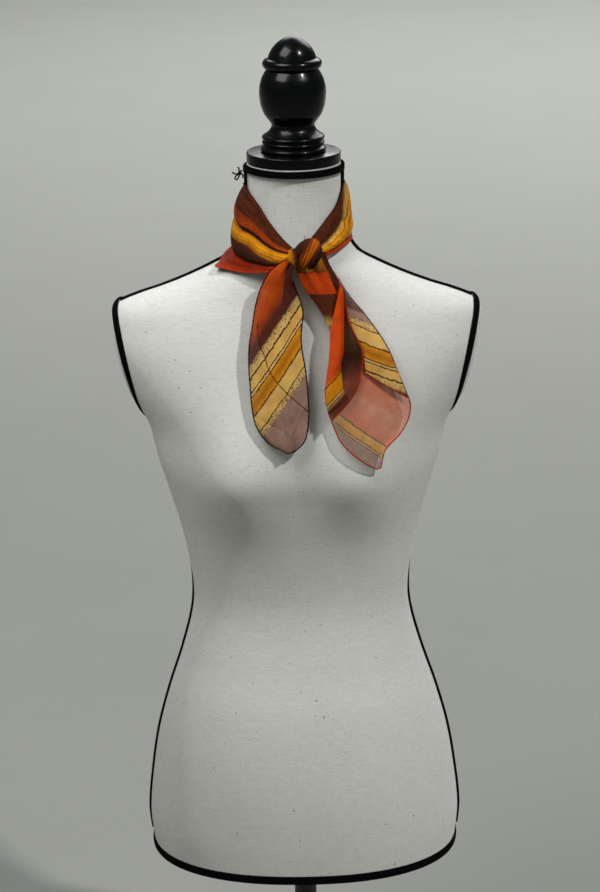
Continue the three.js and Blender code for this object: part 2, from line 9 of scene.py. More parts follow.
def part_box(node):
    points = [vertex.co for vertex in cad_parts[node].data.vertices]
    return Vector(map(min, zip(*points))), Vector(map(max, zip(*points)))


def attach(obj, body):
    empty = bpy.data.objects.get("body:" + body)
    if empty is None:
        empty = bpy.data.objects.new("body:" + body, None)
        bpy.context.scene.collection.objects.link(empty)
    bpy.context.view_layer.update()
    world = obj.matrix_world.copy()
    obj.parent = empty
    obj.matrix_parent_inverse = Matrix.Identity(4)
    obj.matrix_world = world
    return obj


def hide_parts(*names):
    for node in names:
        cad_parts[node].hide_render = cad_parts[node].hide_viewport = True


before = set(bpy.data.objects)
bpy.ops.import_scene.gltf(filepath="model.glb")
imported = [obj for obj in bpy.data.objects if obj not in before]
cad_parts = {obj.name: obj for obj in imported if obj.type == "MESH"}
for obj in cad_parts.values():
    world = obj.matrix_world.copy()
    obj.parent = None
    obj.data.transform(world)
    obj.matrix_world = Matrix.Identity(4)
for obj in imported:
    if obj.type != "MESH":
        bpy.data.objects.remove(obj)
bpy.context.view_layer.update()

MM = 0.001
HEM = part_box("form_torso")[0].z  # height of the torso's bottom edge above the floor
CAP_LOW, CAP_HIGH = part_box("form_neck_cap")

# ------------------------------------------------------------------ small tools


def at(x, y, z):
    """A point given in millimetres, with its height measured from the torso's bottom edge."""
    return Vector((x * MM, y * MM, HEM + z * MM))


def lerp(a, b, t):
    return a + (b - a) * t


def smooth_step(low, high, value):
    t = min(max((value - low) / (high - low), 0.0), 1.0)
    return t * t * (3 - 2 * t)


def bump(value, centre, width):
    """A soft ridge one high at its centre."""
    return math.exp(-(((value - centre) / width) ** 2))


def smooth_at(table, where, column):
    """A smooth curve through a table's rows, read at a value of their first column."""
    last = len(table) - 1
    if where <= table[0][0]:
        return table[0][column]
    if where >= table[last][0]:
        return table[last][column]
    i = max(k for k in range(last) if table[k][0] <= where)
    span = table[i + 1][0] - table[i][0]
    t = (where - table[i][0]) / span

    def slope(j):
        before, after = table[max(j - 1, 0)], table[min(j + 1, last)]
        return (after[column] - before[column]) / (after[0] - before[0]) * span

    return (
        (2 * t**3 - 3 * t**2 + 1) * table[i][column]
        + (t**3 - 2 * t**2 + t) * slope(i)
        + (3 * t**2 - 2 * t**3) * table[i + 1][column]
        + (t**3 - t**2) * slope(i + 1)
    )


def through(a, b, c, d, f):
    """A value from b to c on the smooth curve through four that follow each other."""
    return 0.5 * (
        2 * b + (c - a) * f + (2 * a - 5 * b + 4 * c - d) * f**2 + (3 * b - a - 3 * c + d) * f**3
    )


def along(points, t):
    """A point on the smooth curve through points, at a share t of the way along its list."""
    last = len(points) - 1
    place = min(max(t, 0.0), 1.0) * last
    i = min(int(place), last - 1)
    f = place - i
    a, b = points[max(i - 1, 0)], points[i]
    c, d = points[i + 1], points[min(i + 2, last)]
    return tuple(through(p, q, r, s, f) for p, q, r, s in zip(a, b, c, d))


def grid_shape(columns, rows, place, chart=None):
    """A skin over a grid: place(across, down) is a point, with both shares from 0 to 1."""
    shape = bmesh.new()
    bmesh.ops.create_grid(shape, x_segments=columns, y_segments=rows, size=0.5)
    share = {v: (v.co.x + 0.5, 0.5 - v.co.y) for v in shape.verts}
    if chart:
        layer = shape.loops.layers.uv.new("print")
        for face in shape.faces:
            for loop in face.loops:
                u, v = chart(*share[loop.vert])
                loop[layer].uv = (u * MM, v * MM)
    for vert, (across, down) in share.items():
        vert.co = place(across, down)
    return shape


def welded(shape):
    """Closes a skin whose ends meet."""
    bmesh.ops.remove_doubles(shape, verts=shape.verts, dist=2e-5)
    bmesh.ops.recalc_face_normals(shape, faces=shape.faces)
    return shape


def finish_mesh(name, shape, material, slot, nodes=(), smooth=True):
    """Turns a bmesh into a piece of the object, in place of the CAD nodes named."""
    mesh = bpy.data.meshes.new(name)
    shape.to_mesh(mesh)
    shape.free()
    for face in mesh.polygons:
        face.use_smooth = smooth
    piece = bpy.data.objects.new(name, mesh)
    bpy.context.scene.collection.objects.link(piece)
    return dress(piece, material, slot, nodes)


def dress(piece, material, slot, nodes=()):
    piece.data.materials.clear()
    piece.data.materials.append(material)
    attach(piece, "root")
    if nodes:
        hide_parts(*nodes)
    return piece


# ------------------------------------------------------------------ materials


def colour(code):
    """A linear colour from a paint chart's six-figure code."""
    parts = [int(code[i : i + 2], 16) / 255 for i in (0, 2, 4)]
    linear = [p / 12.92 if p <= 0.04045 else ((p + 0.055) / 1.055) ** 2.4 for p in parts]
    return (*linear, 1.0)


class Recipe:
    """A material's node tree, with short calls for the nodes it needs."""

    def __init__(self, name):
        self.material = bpy.data.materials.new(name)
        self.material.use_nodes = True
        self.tree = self.material.node_tree
        self.shader = self.tree.nodes["Principled BSDF"]

    def add(self, kind, **settings):
        node = self.tree.nodes.new("ShaderNode" + kind)
        for key, value in settings.items():
            setattr(node, key, value)
        return node

    def link(self, source, target):
        self.tree.links.new(source, target)

    def maths(self, operation, *values):
        node = self.add("Math", operation=operation)
        for socket, value in zip(node.inputs, values):
            if isinstance(value, bpy.types.NodeSocket):
                self.link(value, socket)
            else:
                socket.default_value = value
        return node.outputs[0]

    def mix(self, share, first, second, blend="MIX"):
        node = self.add("Mix", data_type="RGBA", blend_type=blend)
        for index, value in ((0, share), (6, first), (7, second)):
            if isinstance(value, bpy.types.NodeSocket):
                self.link(value, node.inputs[index])
            else:
                node.inputs[index].default_value = value
        return node.outputs[2]

    def noise(self, vector, scale, detail=3.0, roughness=0.5):
        node = self.add("TexNoise")
        self.link(vector, node.inputs["Vector"])
        node.inputs["Scale"].default_value = scale
        node.inputs["Detail"].default_value = detail
        node.inputs["Roughness"].default_value = roughness
        return node.outputs["Fac"]

    def stretched(self, vector, scale):
        node = self.add("Mapping")
        self.link(vector, node.inputs["Vector"])
        node.inputs["Scale"].default_value = scale
        return node.outputs["Vector"]

    def ramp(self, value, stops, interpolation="LINEAR"):
        """stops are (place from 0 to 1, colour or grey)."""
        node = self.add("ValToRGB")
        self.link(value, node.inputs["Fac"])
        band = node.color_ramp
        band.interpolation = interpolation
        for index, (place, shade) in enumerate(stops):
            element = band.elements[index] if index < 2 else band.elements.new(place)
            element.position = place
            element.color = shade if isinstance(shade, tuple) else (shade, shade, shade, 1)
        return node.outputs["Color"]

    def relief(self, height, strength, distance):
        node = self.add("Bump")
        node.inputs["Strength"].default_value = strength
        node.inputs["Distance"].default_value = distance
        self.link(height, node.inputs["Height"])
        self.link(node.outputs["Normal"], self.shader.inputs["Normal"])

    def set(self, **values):
        for key, value in values.items():
            self.shader.inputs[key.replace("_", " ")].default_value = value


def threads(recipe, vector, first, second, pitch):
    """Over and under threads: the height of a plain weave on two axes of a vector."""
    parts = recipe.add("SeparateXYZ")
    recipe.link(vector, parts.inputs[0])
    waves = []
    for axis in (first, second):
        turned = recipe.maths("MULTIPLY", parts.outputs[axis], 2 * math.pi / pitch)
        waves.append(recipe.maths("SINE", turned))
    return recipe.maths("MULTIPLY", waves[0], waves[1])


def linen():
    """Unbleached linen: a plain weave with slubs, brown flecks and faint clouds."""
    r = Recipe("linen")
    place = r.add("TexCoord").outputs["Object"]
    clouds = r.noise(place, 9, 4)
    base = r.mix(clouds, colour("D9D9D4"), colour("E5E5E1"))
    long_slubs = r.noise(r.stretched(place, (90, 90, 900)), 1.0, 2)
    base = r.mix(r.ramp(long_slubs, [(0.35, 0.0), (0.75, 0.35)]), base, colour("B9B6AB"))
    tall_slubs = r.noise(r.stretched(place, (900, 900, 90)), 1.0, 2)
    base = r.mix(r.ramp(tall_slubs, [(0.35, 0.0), (0.75, 0.3)]), base, colour("C2BFB5"))
    flecks = r.noise(r.stretched(place, (260, 260, 420)), 1.0, 2)
    base = r.mix(r.ramp(flecks, [(0.69, 0.0), (0.75, 0.55)]), base, colour("837E70"))
    specks = r.noise(r.stretched(place, (150, 150, 120)), 1.0, 3)
    base = r.mix(r.ramp(specks, [(0.72, 0.0), (0.76, 0.6)]), base, colour("6B6556"))
    r.link(base, r.shader.inputs["Base Color"])
    weave = threads(r, place, 0, 2, 0.0011)
    height = r.maths("ADD", weave, r.maths("MULTIPLY", long_slubs, 2.2))
    r.relief(height, 0.3, 0.0004)
    r.set(Roughness=0.93, Sheen_Weight=0.06, Sheen_Roughness=0.6, Specular_IOR_Level=0.1)
    return r.material


def black_braid():
    r = Recipe("black_braid")
    place = r.add("TexCoord").outputs["Object"]
    fuzz = r.noise(place, 1400, 3)
    r.link(r.mix(fuzz, colour("010101"), colour("060606")), r.shader.inputs["Base Color"])
    r.relief(fuzz, 0.6, 0.0004)
    r.set(Roughness=0.9, Sheen_Weight=0.02, Specular_IOR_Level=0.06)
    return r.material


def black_lacquer():
    """Turned wood under black lacquer, with faint grain and a few dull patches."""
    r = Recipe("black_lacquer")
    place = r.add("TexCoord").outputs["Object"]
    grain = r.noise(r.stretched(place, (160, 160, 14)), 1.0, 4)
    r.link(r.mix(grain, colour("020303"), colour("080A0B")), r.shader.inputs["Base Color"])
    dull = r.noise(place, 60, 4)
    r.link(r.ramp(dull, [(0.3, 0.2), (0.75, 0.36)]), r.shader.inputs["Roughness"])
    r.relief(grain, 0.08, 0.0005)
    r.set(Coat_Weight=0.12, Coat_Roughness=0.08, Specular_IOR_Level=0.14)
    return r.material


def black_paint():
    r = Recipe("black_paint")
    place = r.add("TexCoord").outputs["Object"]
    peel = r.noise(place, 420, 2)
    r.link(r.mix(peel, colour("0C0D0E"), colour("17181A")), r.shader.inputs["Base Color"])
    r.link(r.ramp(r.noise(place, 25, 4), [(0.3, 0.32), (0.7, 0.5)]), r.shader.inputs["Roughness"])
    r.relief(peel, 0.12, 0.0004)
    r.set(Metallic=0.0, Specular_IOR_Level=0.5)
    return r.material


# The dyes of the print, and PAINTED_GLOW, a painted glow.
RUST = colour("CC5004")
DEEP_RUST = colour("942A04")
MAUVE = colour("5A261A")
DARK = colour("2C0F05")
BROWN = colour("552308")
BEIGE = colour("EAC27A")
PALE_GOLD = colour("EEBE62")
MUSTARD = colour("EC9A0A")
OCHRE = colour("B8740A")
TAUPE = colour("A68476")
ORANGE = colour("DC4C02")
PINK = colour("F08A62")
OLIVE = colour("4A3616")
DUSK = colour("6E504E")
GOLD = colour("CC8408")
COPPER = colour("C86408")
MAROON = colour("82402E")
PAINTED_GLOW = colour("F0703A")
PALE_PINK = colour("F4A384")

# Each chart runs across the stripes of the print: broad bands as millimetres and colour, thin dark lines
# as their middle and half width, and stretches with a dark speckle. Most bands are dye; painted light
# among them is marked at its chart.
BAND_CHART = {
    "length": 180,
    "bands": [
        (0, RUST), (47, RUST), (60, MAUVE), (66, MAUVE), (69, BEIGE), (80, PALE_GOLD),
        (87, BEIGE), (88, MUSTARD), (93, OCHRE), (99, MUSTARD), (101, BEIGE), (107, PALE_GOLD),
        (116, BEIGE), (119, TAUPE), (153, TAUPE), (164, DUSK), (180, DUSK),
    ],
    "lines": [(75.2, 0.75), (84.2, 0.5), (87.2, 0.5), (99.4, 0.6), (112.4, 0.45)],
    "speckles": [(65, 72.5), (112, 119.5)],
}
# In TIP_CHART the band at 172 is a painted glow: a brighter orange patch in the pink.
TIP_CHART = {
    "length": 500,
    "bands": [
        (0, PINK), (150, PINK), (172, PAINTED_GLOW), (190, PINK), (214, PALE_PINK), (236, PINK),
             (240, PALE_GOLD), (246, MUSTARD), (248, BEIGE),
        (252, TAUPE), (300, TAUPE), (304, ORANGE), (343, ORANGE), (347, MUSTARD), (358, MUSTARD),
        (361, BEIGE), (364, BROWN), (396, MAUVE), (420, MAUVE), (434, OLIVE), (448, DARK),
        (456, BROWN), (464, MAROON), (484, MAROON), (500, TAUPE),
    ],
    "lines": [(238, 0.5), (247.4, 0.5), (249.8, 0.45), (346, 0.5), (358.6, 0.45), (361.4, 0.45)],
    "speckles": [(428, 448)],
}
# In WOUND_CHART the DARK bands at 30-43, 102 and 222 are painted shade: they sit where the neck cloth's
# sections dip under its folds. The knot's stretch (262-334) runs from DARK at both ends to COPPER in the
# middle.
WOUND_CHART = {
    "length": 350,
    "bands": [
        (0, RUST), (3, BROWN), (14, BROWN), (21, RUST), (25, BROWN), (30, DARK),
        (43, DARK), (48, OCHRE), (53, GOLD), (58, MUSTARD), (64, GOLD), (69, OCHRE), (74, BROWN),
        (102, DARK), (109, DEEP_RUST), (130, DEEP_RUST), (150, ORANGE),
        (158, BROWN), (176, BROWN), (184, PALE_GOLD), (190, MUSTARD), (214, MUSTARD), (222, DARK),
             (230, RUST), (246, ORANGE), (262, DARK),
        (284, BROWN), (297, COPPER), (311, COPPER), (319, BROWN), (334, DARK),
    ],
    "lines": [
        (5, 0.4), (59, 0.3), (66, 0.4), (119, 0.4), (122, 0.4), (191, 0.4), (204, 0.4), (236, 0.4),
        (280, 0.4), (286, 0.35), (292, 0.4), (299, 0.35), (306, 0.35), (318, 0.4),
    ],
    "speckles": [(182, 189)],
}


def chiffon(name, chart, alpha, creased_and_shaded):
    """Sheer printed cloth. Its UV map holds metres along (U) and across (V) the stripes."""
    r = Recipe(name)
    place = r.add("TexCoord").outputs["UV"]
    parts = r.add("SeparateXYZ")
    r.link(place, parts.inputs[0])
    wander = r.maths("SUBTRACT", r.noise(place, 110, 3), 0.5)
    ripple = r.maths("SUBTRACT", r.noise(place, 800, 2), 0.5)
    shift = r.maths("MULTIPLY_ADD", wander, 0.003, r.maths("MULTIPLY", ripple, 0.0007))
    across = r.maths("ADD", parts.outputs["Y"], shift)
    share = r.maths("DIVIDE", across, chart["length"] * MM)
    dye = r.ramp(share, [(spot / chart["length"], shade) for spot, shade in chart["bands"]])

    wash = r.noise(place, 70, 2)
    dye = r.mix(r.ramp(wash, [(0.35, 0.0), (0.7, 0.3)]), dye, colour("B07040"), "MULTIPLY")
    blooms = r.noise(r.stretched(place, (1, 1.6, 1)), 120, 2)
    dye = r.mix(r.ramp(blooms, [(0.45, 0.0), (0.75, 0.45)]), dye, colour("F2CC8C"), "SOFT_LIGHT")
    fine = r.noise(r.stretched(place, (55, 480, 1)), 1.0, 3)
    coarse = r.noise(r.stretched(place, (30, 170, 1)), 1.0, 2)
    streaks = r.maths("MULTIPLY", fine, coarse)
    # Where the crease streaks run low, the dye is multiplied by dark brown 3A1606: painted shade in the
    # creases.
    if creased_and_shaded:
        dye = r.mix(r.ramp(streaks, [(0.12, 0.6), (0.23, 0.0)]), dye, colour("3A1606"), "MULTIPLY")

    beads = r.ramp(r.noise(place, 650, 2), [(0.3, 0.2), (0.62, 1.3)])
    mask = 0.0
    for middle, half in chart["lines"]:
        reach = r.maths("MULTIPLY", beads, half * 1.25 * MM)
        line = r.maths("COMPARE", across, middle * MM, reach)
        mask = r.maths("MAXIMUM", line, mask)
    dye = r.mix(r.maths("MULTIPLY", mask, 0.92), dye, DARK)

    zone = 0.0
    for low, high in chart["speckles"]:
        spread = r.maths("COMPARE", across, (low + high) / 2 * MM, (high - low) / 2 * MM)
        zone = r.maths("MAXIMUM", spread, zone)
    dots = r.add("TexVoronoi")
    dots.inputs["Scale"].default_value = 640
    r.link(place, dots.inputs["Vector"])
    grains = r.ramp(dots.outputs["Distance"], [(0.34, 0.95), (0.5, 0.0)])
    sparse = r.ramp(r.noise(place, 500, 2), [(0.4, 1.0), (0.6, 0.25)])
    grains = r.maths("MULTIPLY", grains, sparse)
    dye = r.mix(r.maths("MULTIPLY", zone, grains), dye, DARK)
    r.link(dye, r.shader.inputs["Base Color"])

    weave = threads(r, place, 0, 1, 0.00045)
    height = r.maths("MULTIPLY_ADD", streaks, 9.0 if creased_and_shaded else 1.5, r.maths("MULTIPLY", weave, 0.3))
    r.relief(height, 0.6, 0.0006)
    r.set(Roughness=0.55, Alpha=alpha, Specular_IOR_Level=0.12)
    return r.material


def hem_thread(name, code):
    r = Recipe(name)
    place = r.add("TexCoord").outputs["Object"]
    fuzz = r.noise(place, 2200, 2)
    dark = tuple(c * 0.55 for c in colour(code)[:3]) + (1.0,)
    r.link(r.mix(fuzz, dark, colour(code)), r.shader.inputs["Base Color"])
    r.relief(fuzz, 0.5, 0.0002)
    r.set(Roughness=0.7, Specular_IOR_Level=0.1)
    return r.material


LINEN = linen()
BRAID = black_braid()
LACQUER = black_lacquer()
PAINT = black_paint()
BANDED = chiffon("chiffon_banded", BAND_CHART, 0.78, False)
TIPS = chiffon("chiffon_tips", TIP_CHART, 0.46, False)
FOLDED = chiffon("chiffon_folded", TIP_CHART, 0.78, False)
WOUND = chiffon("chiffon_wound", WOUND_CHART, 1.0, True)
THROAT = chiffon("chiffon_throat", WOUND_CHART, 1.0, False)
HEM_DARK = hem_thread("hem_thread_dark", "2A0A04")
HEM_FOLD = hem_thread("hem_thread_fold", "4A1408")
HEM_RED = hem_thread("hem_thread_red", "B02E06")

# ------------------------------------------------------------------ the form

# Torso sections, in millimetres: height, half width, depth in front, depth behind.
TORSO_STATIONS = [
    (0, 168, 121, 118),
    (35, 171, 123, 120),
    (85, 166, 123, 121),
    (133, 158, 119, 118),
    (181, 145, 111, 108),
    (229, 129, 98, 95),
    (276, 117, 88, 84),
    (310, 117, 86, 83),
    (363, 126, 92, 87),
    (415, 140, 102, 92),
    (449, 150, 109, 96),
    (490, 160, 106, 100),
    (530, 184, 96, 99),
    (570, 202, 82, 90),
    (600, 199, 70, 76),
    (614, 189, 64, 67),
    (625, 163, 60, 61),
    (635, 133, 58, 57),
    (646, 106, 56, 56),
    (657, 83, 55, 55),
    (668, 64, 53, 54),
    (690, 52, 50, 52),
    (721, 48.5, 48.5, 49),
    (761.5, 48.5, 48.5, 48.5),
]
NECK_TOP = 761.5
BODY_ROUNDNESS, NECK_ROUNDNESS = 2.25, 2.0
BUST_OUT, BUST_APART, BUST_WIDTH, BUST_HEIGHT = 19, 70, 42, 440
ARM_X, ARM_Z = 179, 560
ARM_LEAN = math.radians(14)
ARM_TURN = {1: math.radians(3), -1: math.radians(5)}  # how far each end faces to the back


def roundness_at(z):
    return lerp(BODY_ROUNDNESS, NECK_ROUNDNESS, smooth_step(640, 690, z))


def bust_at(x, z):
    reach = 62 if z > BUST_HEIGHT else 48
    return BUST_OUT * bump(abs(x), BUST_APART, BUST_WIDTH) * bump(z, BUST_HEIGHT, reach)


def chest_at(x, z):
    """The front of the torso, as y, at a width and a height."""
    power = roundness_at(z)
    share = min(abs(x) / smooth_at(TORSO_STATIONS, z, 1), 0.999)
    depth = smooth_at(TORSO_STATIONS, z, 2) * (1 - share**power) ** (1 / power)
    return -depth - bust_at(x, z)


def side_at(y, z):
    """The side of the torso, as x, at a depth and a height."""
    power = roundness_at(z)
    share = abs(y) / smooth_at(TORSO_STATIONS, z, 2 if y < 0 else 3)
    return smooth_at(TORSO_STATIONS, z, 1) * (1 - share**power) ** (1 / power)


def reach_at(dx, dy, z):
    """Distance of the torso's surface from the axis, in a level direction."""
    power = roundness_at(z)
    depth = smooth_at(TORSO_STATIONS, z, 2 if dy < 0 else 3)
    width = smooth_at(TORSO_STATIONS, z, 1)
    return ((abs(dx) / width) ** power + (abs(dy) / depth) ** power) ** (-1 / power)


def torso_point(angle, z, out=0.0):
    dx, dy = math.cos(angle), math.sin(angle)
    reach = reach_at(dx, dy, z) + out
    bust = bust_at(reach * dx, z) * smooth_step(0, 0.25, -dy)
    return at(reach * dx, reach * dy - bust, z)


def arm_frame(side):
    normal = Vector(
        (
            side * math.cos(ARM_LEAN) * math.cos(ARM_TURN[side]),
            math.sin(ARM_TURN[side]),
            -math.sin(ARM_LEAN) * math.cos(ARM_TURN[side]),
        )
    ).normalized()
    up = (Vector((0, 0, 1)) - normal * normal.z).normalized()
    return at(side * ARM_X, 0, ARM_Z), normal, up, up.cross(normal)


def arm_outline(side, count):
    """Points round an arm's flat end, found by stepping out from its middle."""
    middle, _, up, across = arm_frame(side)
    points = []
    for i in range(count):
        angle = math.tau * i / count
        ray = across * math.cos(angle) + up * math.sin(angle)
        near, far = 0.0, 0.12
        while far - near > 1e-5:
            step = (near + far) / 2
            p = (middle + ray * step) / MM
            z = p.z - HEM / MM
            level = Vector((p.x, p.y)).length
            if level < reach_at(p.x / level, p.y / level, z):
                near = step
            else:
                far = step
        points.append(middle + ray * near)
    return points


def close_ends(shape):
    open_edges = [e for e in shape.edges if e.is_boundary]
    bmesh.ops.holes_fill(shape, edges=open_edges, sides=0)
    bmesh.ops.recalc_face_normals(shape, faces=shape.faces)


def torso():
    def place(across, down):
        return torso_point(math.tau * across, NECK_TOP * (1 - down))

    shape = welded(grid_shape(112, 130, place))
    close_ends(shape)
    for side in (1, -1):
        middle, normal, _, _ = arm_frame(side)
        near = [
            f
            for f in shape.faces
            if f.calc_center_median().x * side > 0.08
            and HEM + 0.44 < f.calc_center_median().z < HEM + 0.7
        ]
        edges = {e for f in near for e in f.edges}
        verts = {v for f in near for v in f.verts}
        bmesh.ops.bisect_plane(
            shape,
            geom=[*verts, *edges, *near],
            plane_co=middle,
            plane_no=normal,
            clear_outer=True,
            dist=1e-5,
        )
        rim = [e for e in shape.edges if e.is_boundary]
        bmesh.ops.holes_fill(shape, edges=rim, sides=0)
    piece = finish_mesh("torso_linen", welded(shape), LINEN, "linen", ["form_torso"])
    sharpen(piece, 50)
    return piece


def sharpen(piece, degrees):
    """Keeps edges sharper than an angle crisp under smooth shading."""
    shape = bmesh.new()
    shape.from_mesh(piece.data)
    for edge in shape.edges:
        if len(edge.link_faces) == 2 and edge.calc_face_angle() > math.radians(degrees):
            edge.smooth = False
    shape.to_mesh(piece.data)
    shape.free()


def arm_plate(side, word):
    """A padded linen disc in the arm's flat end, fuller on the side turned to the front."""
    middle, normal, _, _ = arm_frame(side)
    outline = arm_outline(side, 96)
    fullness = 5 if side > 0 else 1

    def place(across, down):
        rim = outline[round(across * 96) % 96]
        inward = 0.03 + 0.97 * down
        height = 0.4 + 2.6 * smooth_step(0, 0.08, down) + fullness * math.sin(down * math.pi / 2)
        return rim + (middle - rim) * inward + normal * height * MM

    shape = welded(grid_shape(96, 24, place))
    node = f"form_arm_plate_{word}"
    return finish_mesh(f"arm_plate_{word}", shape, LINEN, "linen", [node])


# ------------------------------------------------------------------ cords and braids


def curve_piece(name, curve, material, slot, nodes=()):
    """Turns a curve and its section into a mesh piece."""
    holder = bpy.data.objects.new(name, curve)
    bpy.context.scene.collection.objects.link(holder)
    bpy.context.view_layer.update()
    skin = holder.evaluated_get(bpy.context.evaluated_depsgraph_get())
    mesh = bpy.data.meshes.new_from_object(skin)
    bpy.data.objects.remove(holder)
    for face in mesh.polygons:
        face.use_smooth = True
    piece = bpy.data.objects.new(name, mesh)
    bpy.context.scene.collection.objects.link(piece)
    return dress(piece, material, slot, nodes)


def twisted_cord(name, points, radius, pitch, nodes, strands=3):
    """A cord of twisted strands along a run of points."""
    curve = bpy.data.curves.new(name, "CURVE")
    curve.dimensions = "3D"
    curve.twist_mode = "MINIMUM"
    section = bpy.data.curves.new(name + "_section", "CURVE")
    section.dimensions = "2D"
    rim = section.splines.new("POLY")
    lobes = 6 * strands
    rim.points.add(lobes - 1)
    for i in range(lobes):
        angle = math.tau * i / lobes
        reach = radius * MM * (0.84 + 0.16 * math.cos(strands * angle))
        rim.points[i].co = (reach * math.cos(angle), reach * math.sin(angle), 0, 1)
    rim.use_cyclic_u = True
    section_object = bpy.data.objects.new(name + "_section", section)
    length = sum((b - a).length for a, b in zip(points, points[1:]))
    count = max(int(length / (pitch * MM) * 5), 8)
    spline = curve.splines.new("POLY")
    spline.points.add(count - 1)
    turns = max(round(length / (pitch * MM)), 1)
    for i in range(count):
        share = i / (count - 1)
        spline.points[i].co = (*spot_on(points, share), 1)
        spline.points[i].tilt = math.tau * turns * share
    curve.bevel_mode = "OBJECT"
    curve.bevel_object = section_object
    curve.use_fill_caps = True
    bpy.context.scene.collection.objects.link(section_object)
    piece = curve_piece(name, curve, BRAID, "black_braid", nodes)
    bpy.data.objects.remove(section_object)
    return piece


def spot_on(points, share):
    """A point on the smooth run through points, at a share of its length."""
    points = [points[0], *points, points[-1]]
    lengths = [(b - a).length for a, b in zip(points[1:-1], points[2:-1])]
    left = share * sum(lengths)
    i = 0
    while i < len(lengths) - 1 and left > lengths[i]:
        left -= lengths[i]
        i += 1
    f = left / lengths[i]
    return through(*points[i : i + 4], f)


def out_of_torso(point):
    """The direction straight out of the torso at a point of its surface."""

    def share(p):
        level = Vector((p.x, p.y)) / MM
        return level.length / reach_at(level.x / level.length, level.y / level.length, (p.z - HEM) / MM)

    step = 0.5 * MM
    axes = [Vector((1, 0, 0)), Vector((0, 1, 0)), Vector((0, 0, 1))]
    return Vector([share(point + a * step) - share(point - a * step) for a in axes]).normalized()


BRAID_PITCH, BRAID_THICK = 2.4, 1.7
ARM_BRAID_WIDTH, HEM_BRAID_WIDTH = 9, 10
HEM_BRAID_DROP = 6.5  # how far the hem braid hangs past the torso's bottom edge
WRAP_TURNS, WRAP_START, WRAP_RADIUS = 3, math.radians(-166), 50.7
WRAP_TOP, WRAP_FALL = 759.6, 6.4
# The heights that the shoulder cord passes through, from the neck to the arm.
RIDGE_HEIGHTS = [755, 735, 720, 705, 692, 682, 673, 665, 657, 649, 641, 633, 626, 621, 617.5]
# The side seam: height, and how far it runs behind the middle of the side.
SEAM_LINE = [(0, -4), (250, -4), (330, 14), (480, 20)]


def flat_braid(name, path, width, node):
    """A plaited tape round a closed path of (edge point, direction out, direction across it)."""
    points = [spot for spot, _, _ in path]
    length = sum((b - a).length for a, b in zip(points, points[1:] + points[:1]))
    plaits = round(length / (BRAID_PITCH * MM))
    columns = plaits * 6

    def place(across, down):
        whole = across * len(path)
        i, f = int(whole) % len(path), whole - int(whole)
        a, b = path[i], path[(i + 1) % len(path)]
        spot, out, over = (lerp(p, q, f) for p, q in zip(a, b))
        phase = math.tau * (across * plaits + 0.9 * abs(down - 0.5) * 2)
        plait = 0.5 + 0.5 * math.cos(phase)
        rim = math.sin(math.pi * min(max(down, 0), 1)) ** 0.4
        high = (-0.3 + (BRAID_THICK - 0.5 + 0.9 * plait) * rim) * MM
        ragged = 0.55 * (plait - 0.5) * (2 * down - 1)
        return spot + out * high + over * (down * width + ragged) * MM

    shape = welded(grid_shape(columns, 10, place))
    return finish_mesh(name, shape, BRAID, "black_braid", [node])


def smoothed(ring, reach):
    """The points or directions of a closed ring, each averaged with those near it."""
    steps = range(-reach, reach + 1)
    return [sum((ring[(i + k) % len(ring)] for k in steps),
    Vector()) / len(steps) for i in range(len(ring))]


def trims():
    for side, word in ((-1, "left"), (1, "right")):
        _, normal, _, _ = arm_frame(side)
        edges = arm_outline(side, 160)
        steepest = [out_of_torso(edge) for edge in edges]
        outs = [direction.normalized() for direction in smoothed(steepest, 6)]
        inwards = smoothed([(out * normal.dot(out) - normal).normalized() for out in outs], 6)
        path = list(zip(smoothed(edges, 2), outs, [inward.normalized() for inward in inwards]))
        flat_braid(f"arm_braid_{word}", path, ARM_BRAID_WIDTH, f"form_arm_braid_{word}")
        ridge = [at(side * (smooth_at(TORSO_STATIONS, z, 1) + 1.6), 0, z) for z in RIDGE_HEIGHTS]
        twisted_cord(f"shoulder_cord_{word}", ridge, 2.4, 4.6, [f"form_shoulder_cord_{word}"])
        seam = []
        for z in range(476, 3, -12):
            y = smooth_at(SEAM_LINE, z, 1)
            seam.append(at(side * (side_at(y, z) + 1.1), y, z))
        twisted_cord(f"seam_cord_{word}", seam, 1.7, 3.6, [f"form_seam_cord_{word}"])
    path = []
    for i in range(240):
        angle = math.tau * i / 240
        foot = torso_point(angle, 0, 0.4) - Vector((0, 0, HEM_BRAID_DROP * MM))
        path.append((foot, Vector((math.cos(angle), math.sin(angle), 0)), Vector((0, 0, 1))))
    flat_braid("hem_braid", path, HEM_BRAID_WIDTH, "form_hem_braid")
    wrap = []
    for i in range(145):
        angle = WRAP_START + math.tau * WRAP_TURNS * i / 144
        x, y = WRAP_RADIUS * math.cos(angle), WRAP_RADIUS * math.sin(angle)
        wrap.append(at(x, y, WRAP_TOP - WRAP_FALL * i / 144))
    twisted_cord("neck_wrap_cord", wrap, 2.0, 3.6, ["form_neck_wrap"])


def neck_bow():
    """The bow that ties off the neck wrap."""
    x, y, z = -55, -14, 754
    runs = [
        [(0, 0, 0), (-3, -1, -1.6), (-5.6, -1.3, -1.4), (-8.5, -1, 0.4)],
        [(0, 0, 0), (-1.4, -1, 2), (-1.2, -1.4, 4), (-2.6, -1, 5.6)],
        [(0, 0, 0), (-2.6, -1, -2.4), (-4.8, -1, -4), (-5.6, -1, -6.4), (-3.6, -1, -7.4),
             (-1.8, -1, -5), (0, -0.4, -1)],
        [(0, 0, 0), (1.6, -1.4, -1.6), (2.8, -2.4, -3.2), (2.4, -2.4, -5.5)],
        [(1.5, 1.2, 1.2), (0.4, -1.8, 1.6), (-1.6, -1.8, 0.2), (-0.6, -1.8, -1.8), (1.4, -0.8, -1.2)],
    ]
    for i, run in enumerate(runs):
        points = [at(x + a, y + b, z + c) for a, b, c in run]
        twisted_cord(f"neck_bow_{i}", points, 0.95, 2.4, (), strands=2)
    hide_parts("form_neck_bow")


# ------------------------------------------------------------------ turned wood and the stand


